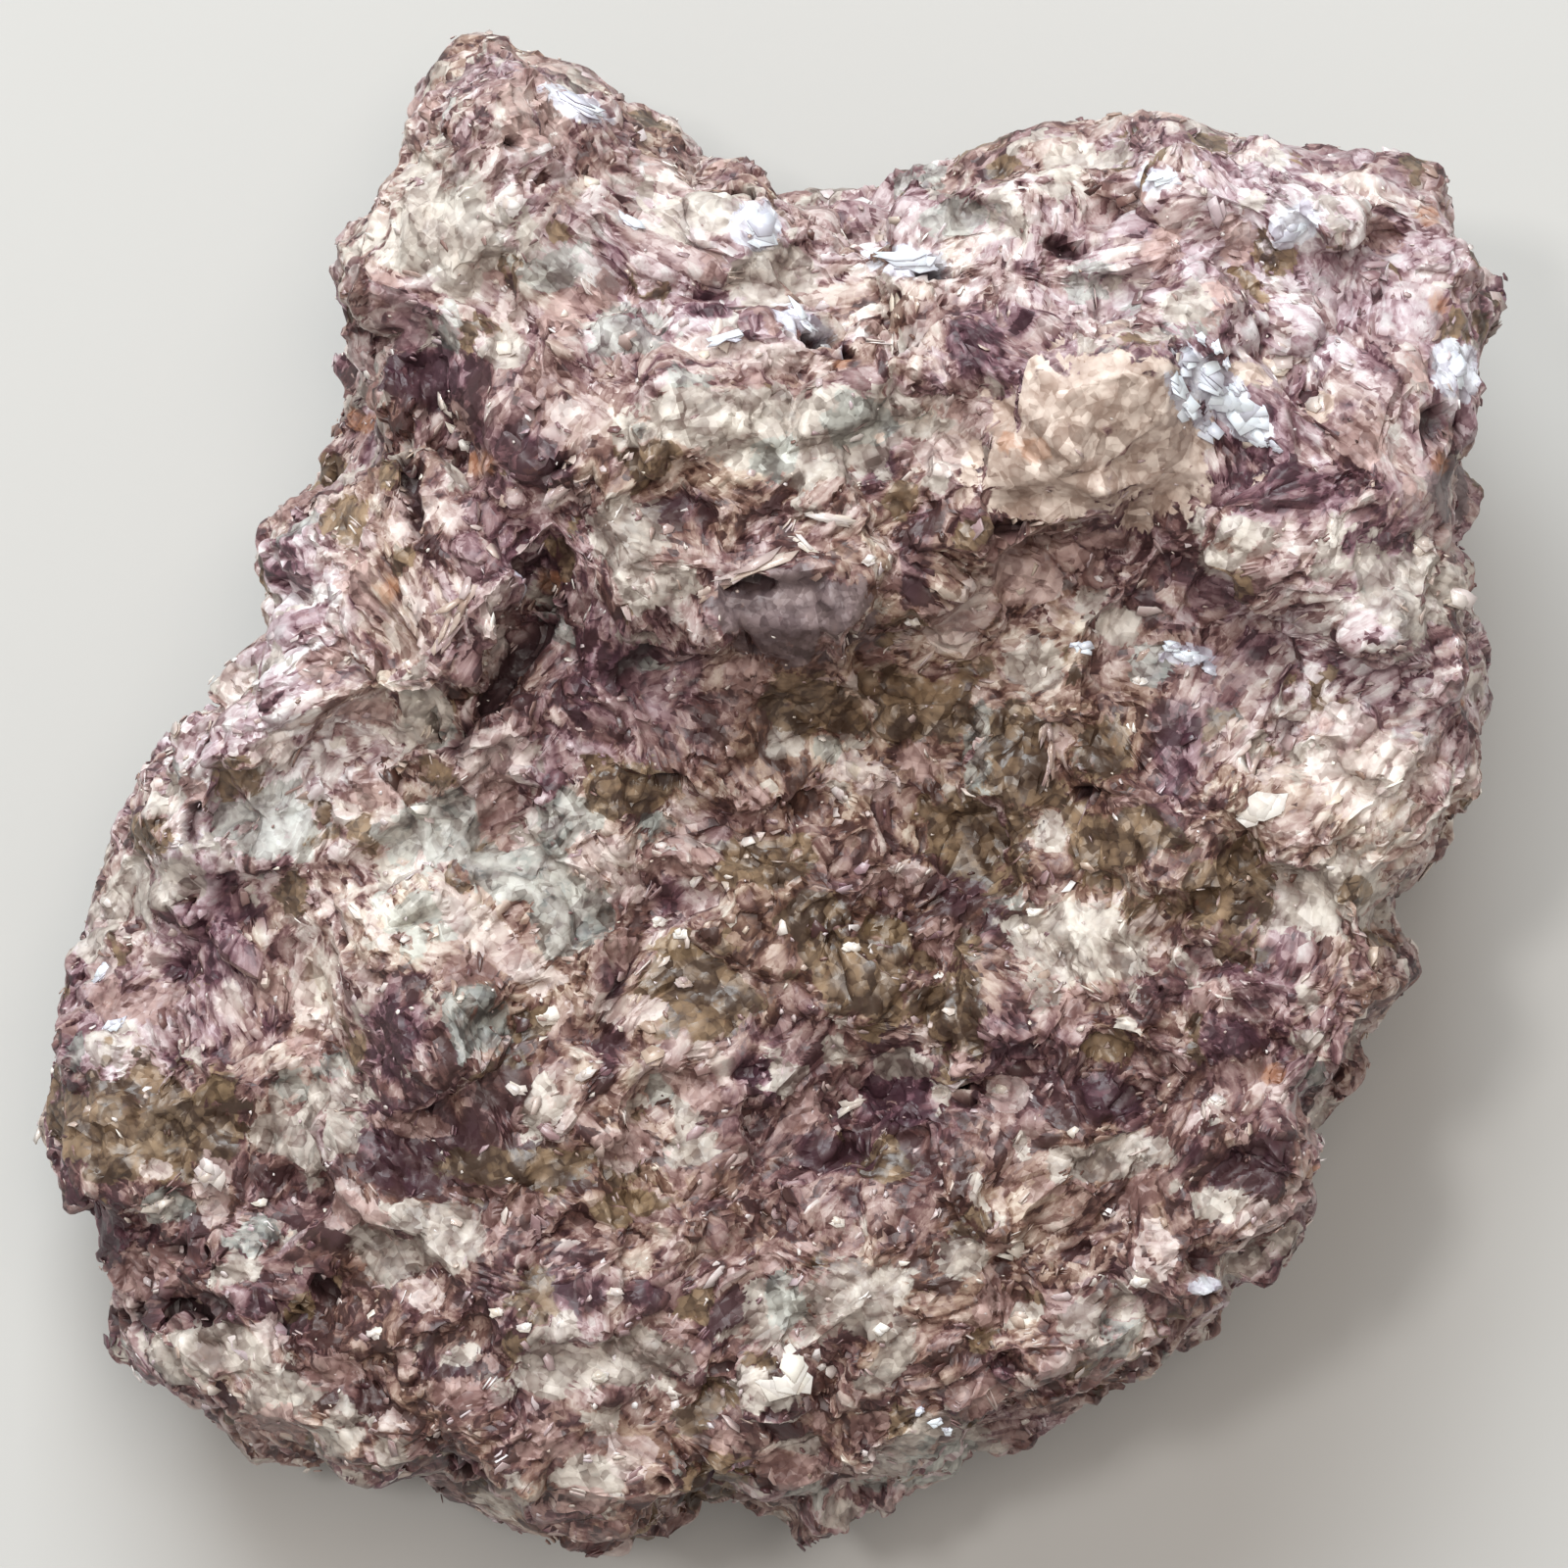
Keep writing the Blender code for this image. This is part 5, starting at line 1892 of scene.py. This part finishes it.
@dataclass
class LooseFlakes:
    """Bright single flakes: some drawn in FLAKES, and small ones sprinkled over the stone.

    A pair of numbers is a range. A length is in millimetres, or a part of the flake's own.
    """

    view: Viewpoint
    small: Sprinkle = Sprinkle()
    bright: FlakeShape = FlakeShape(0.36, 0.035)
    silver: FlakeShape = FlakeShape(0.40, 0.07)
    facing: tuple[float, float, float] = (-0.04, 0.36, 0.93)
    leaning: float = 0.6
    own_lean: float = 0.08
    front_facing: float = 0.1
    height_counts: float = 0.02
    sheets: int = 6
    sheet_turn: float = 0.18
    sheet_spread: float = 0.46
    sheet_size: tuple[float, float] = (0.50, 0.78)
    first_size: float = 0.88
    base_lift: float = 0.04
    length_lift: float = 0.07
    sheet_lift: tuple[float, float] = (0.0, 0.05)
    sinking: float = 0.4
    thick: float = 0.06
    dimming: float = 0.12
    warmth: tuple[float, float] = (0.3, 0.9)
    silver_tone: tuple[float, float] = (0.5, 1.0)
    seed: int = 23

    def spots(self, surface: Surface, across: Array, down: Array) -> Array:
        """The highest points of the surface that are seen near each drawn flake's place.

        Args:
            surface: the finished surface.
            across: the places' distances from the picture's left edge.
            down: their distances from the top edge.

        Returns:
            The numbers of the points.
        """
        front = np.flatnonzero(surface.outward[:, 2] > self.front_facing)
        seen = self.view.to_plane(surface.points[front])
        drawn = np.array([self.view.place(*place) for place in zip(across, down)])
        apart = np.linalg.norm(seen[None] - drawn[:, None], axis=2)
        score = apart - self.height_counts * surface.points[front][:, 2][None]
        return front[np.argmin(score, axis=1)]

    def drawn(self, surface: Surface, table: Table, shape: FlakeShape,
              draw: np.random.Generator) -> Array:
        """Corners of the flakes that a table draws, each broken into a few thin sheets.

        Args:
            surface: the finished surface.
            table: FLAKES or SILVER_PLATES.
            shape: how the flakes are broken.
            draw: source of the random numbers.

        Returns:
            An array of sheets by ten corners by three, a flake's sheets one after another.
        """
        across, down, long, wide, turn, *_ = np.array(table, float).T
        found = self.spots(surface, across, down)
        row = np.repeat(np.arange(len(table)), self.sheets)
        normals = surface.outward[found][row]
        long, wide = long[row] * self.view.pixel, wide[row] * self.view.pixel
        turn = np.radians(turn[row]) + draw.normal(0, self.sheet_turn, len(row))
        spread = draw.uniform(-1, 1, (len(row), 2)) * np.column_stack([long, wide])
        spread = spread * self.sheet_spread
        shrink = draw.uniform(*self.sheet_size, len(row))
        first = np.arange(len(row)) % self.sheets == 0
        spread[first], shrink[first] = 0, self.first_size
        axis = unit(np.array(self.facing) + self.leaning * normals
                    + draw.normal(0, self.own_lean, (len(table), 3))[row]
                    + draw.normal(0, shape.sheet_tilt, (len(row), 3)))
        run = np.column_stack([np.cos(turn), np.sin(turn), np.zeros(len(turn))])
        side = np.column_stack([-np.sin(turn), np.cos(turn), np.zeros(len(turn))])
        middle = surface.points[found][row] + run * spread[:, :1] + side * spread[:, 1:]
        along = unit(run - axis * (run * axis).sum(axis=1, keepdims=True))
        local = prism_corners(axis, along, long * shrink, wide * shrink,
                              np.full(len(row), self.thick), draw, shape.irregular)
        highest = (local * normals[:, None]).sum(axis=2).max(axis=1)
        lift = self.base_lift + self.length_lift * long + draw.uniform(*self.sheet_lift, len(row))
        lift = lift - self.sinking * highest
        return local + (middle + normals * lift[:, None])[:, None]

    def build_silver(self, surface: Surface, material: bpy.types.Material) -> None:
        """Lay the bluish plates, whose blue is a painted reflection of the window light, and write
        them.

        Args:
            surface: the finished surface.
            material: the plates' material.
        """
        draw = np.random.default_rng(self.seed + 1)
        corners = self.drawn(surface, SILVER_PLATES, self.silver, draw)
        tone = draw.uniform(*self.silver_tone, len(corners))
        add_piece("silver_plates", prism_mesh("silver_plates", corners, tone, tone), material)

    def build(self, surface: Surface, material: bpy.types.Material) -> None:
        """Lay the flakes and write them.

        Args:
            surface: the finished surface.
            material: the flakes' material.
        """
        draw = np.random.default_rng(self.seed)
        corners = self.drawn(surface, FLAKES, self.bright, draw)
        small, sprinkled = self.small.strewn(surface, draw)
        # the drawn flakes' high tone is partly their pale colour and partly a painted glint
        drawn_tone = np.repeat([tone for *_, tone in FLAKES], self.sheets)
        drawn_tone = drawn_tone - self.dimming * draw.random(len(corners))
        tone = np.concatenate([drawn_tone, small.tone])
        warmth = np.concatenate([draw.uniform(*self.warmth, len(corners)), small.warmth])
        mesh = prism_mesh("loose_flakes", np.concatenate([corners, sprinkled]), tone, warmth)
        add_piece("loose_flakes", mesh, material)


# The studio


@dataclass(frozen=True)
class Lamp:
    """A square area light that looks at the stone: its place and edge in metres, power in watts."""

    name: str
    place: tuple[float, float, float]
    edge: float
    power: float
    colour: Colour

    def build(self) -> None:
        """Hang the light."""
        data = bpy.data.lights.new(self.name, "AREA")
        data.size = self.edge
        data.energy = self.power
        data.color = self.colour
        lamp = bpy.data.objects.new(self.name, data)
        lamp.location = self.place
        lamp.rotation_euler = (-lamp.location).to_track_quat("-Z", "Y").to_euler()
        bpy.context.scene.collection.objects.link(lamp)


@dataclass
class Studio:
    """A plain pale floor under soft light, and the camera."""

    view: Viewpoint
    floor_half: float = 900.0
    floor_colour: Colour = (0.50, 0.49, 0.475)
    floor_darker: float = 0.97
    floor_clouds: tuple[float, float] = (30.0, 4.0)
    floor_roughness: float = 0.8
    room_colour: Colour = (0.98, 0.94, 0.89)
    room_light: float = 0.39
    lamps: tuple[Lamp, ...] = (
        Lamp("window", (-0.12, 0.50, 0.52), 0.40, 6.2, (0.88, 0.96, 1.0)),
        Lamp("ceiling", (0.10, 0.12, 0.85), 0.30, 2.0, (1.0, 0.92, 0.84)),
        Lamp("spark", (-0.25, 0.10, 0.80), 0.08, 1.6, (1.0, 0.98, 0.95)),
    )

    def floor(self) -> None:
        """Lay the floor, a flat sheet that the stone lies on."""
        half = self.floor_half * MM
        corners = [(-half, -half, 0), (half, -half, 0), (half, half, 0), (-half, half, 0)]
        mesh = bpy.data.meshes.new("floor")
        mesh.from_pydata(corners, [], [(0, 1, 2, 3)])
        material, nodes, shader = new_material("floor_paint")
        clouds = nodes.noise(nodes.object_place(), *self.floor_clouds).outputs["Fac"]
        darker = tuple(self.floor_darker * part for part in self.floor_colour)
        colour = nodes.mix(clouds, darker, self.floor_colour)
        nodes.tree.links.new(colour, shader.inputs["Base Color"])
        shader.inputs["Roughness"].default_value = self.floor_roughness
        mesh.materials.append(material)
        floor = bpy.data.objects.new("floor", mesh)
        bpy.context.scene.collection.objects.link(floor)

    def build(self) -> None:
        """Light the scene and set the camera."""
        self.floor()
        for lamp in self.lamps:
            lamp.build()
        world = bpy.data.worlds.new("room")
        world.use_nodes = True
        background = world.node_tree.nodes["Background"]
        background.inputs["Color"].default_value = (*self.room_colour, 1)
        background.inputs["Strength"].default_value = self.room_light
        scene = bpy.context.scene
        scene.world = world
        scene.camera = self.view.camera()
        scene.view_settings.view_transform = "Standard"


def main() -> None:
    """Build the stone and the studio."""
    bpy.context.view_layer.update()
    view = Viewpoint()
    coarse = Surface.of_node(frame["nodes"][NODE])
    skin = RockSkin(coarse, MineralMap(view, coarse), BladeField(view))
    surface = skin.surface
    effects = SharedEffects()
    skin.build(SkinFinish(effects).material())
    MicaFlakes(skin).build(MicaFinish("mica", effects).material())
    # the drawn flakes' near-white tone is partly a painted glint
    bright = MicaFinish("bright_mica", effects, roughness=0.18, edge_light=0.0)
    silver = MicaFinish("silver_mica", effects, roughness=0.22, edge_light=-0.3,
                        cool=SILVER_SHEEN_MICA, warm=SILVER_SHEEN_MICA)
    loose = LooseFlakes(view)
    loose.build(surface, bright.material())
    loose.build_silver(surface, silver.material())
    Studio(view).build()


if __name__ == "__main__":
    main()
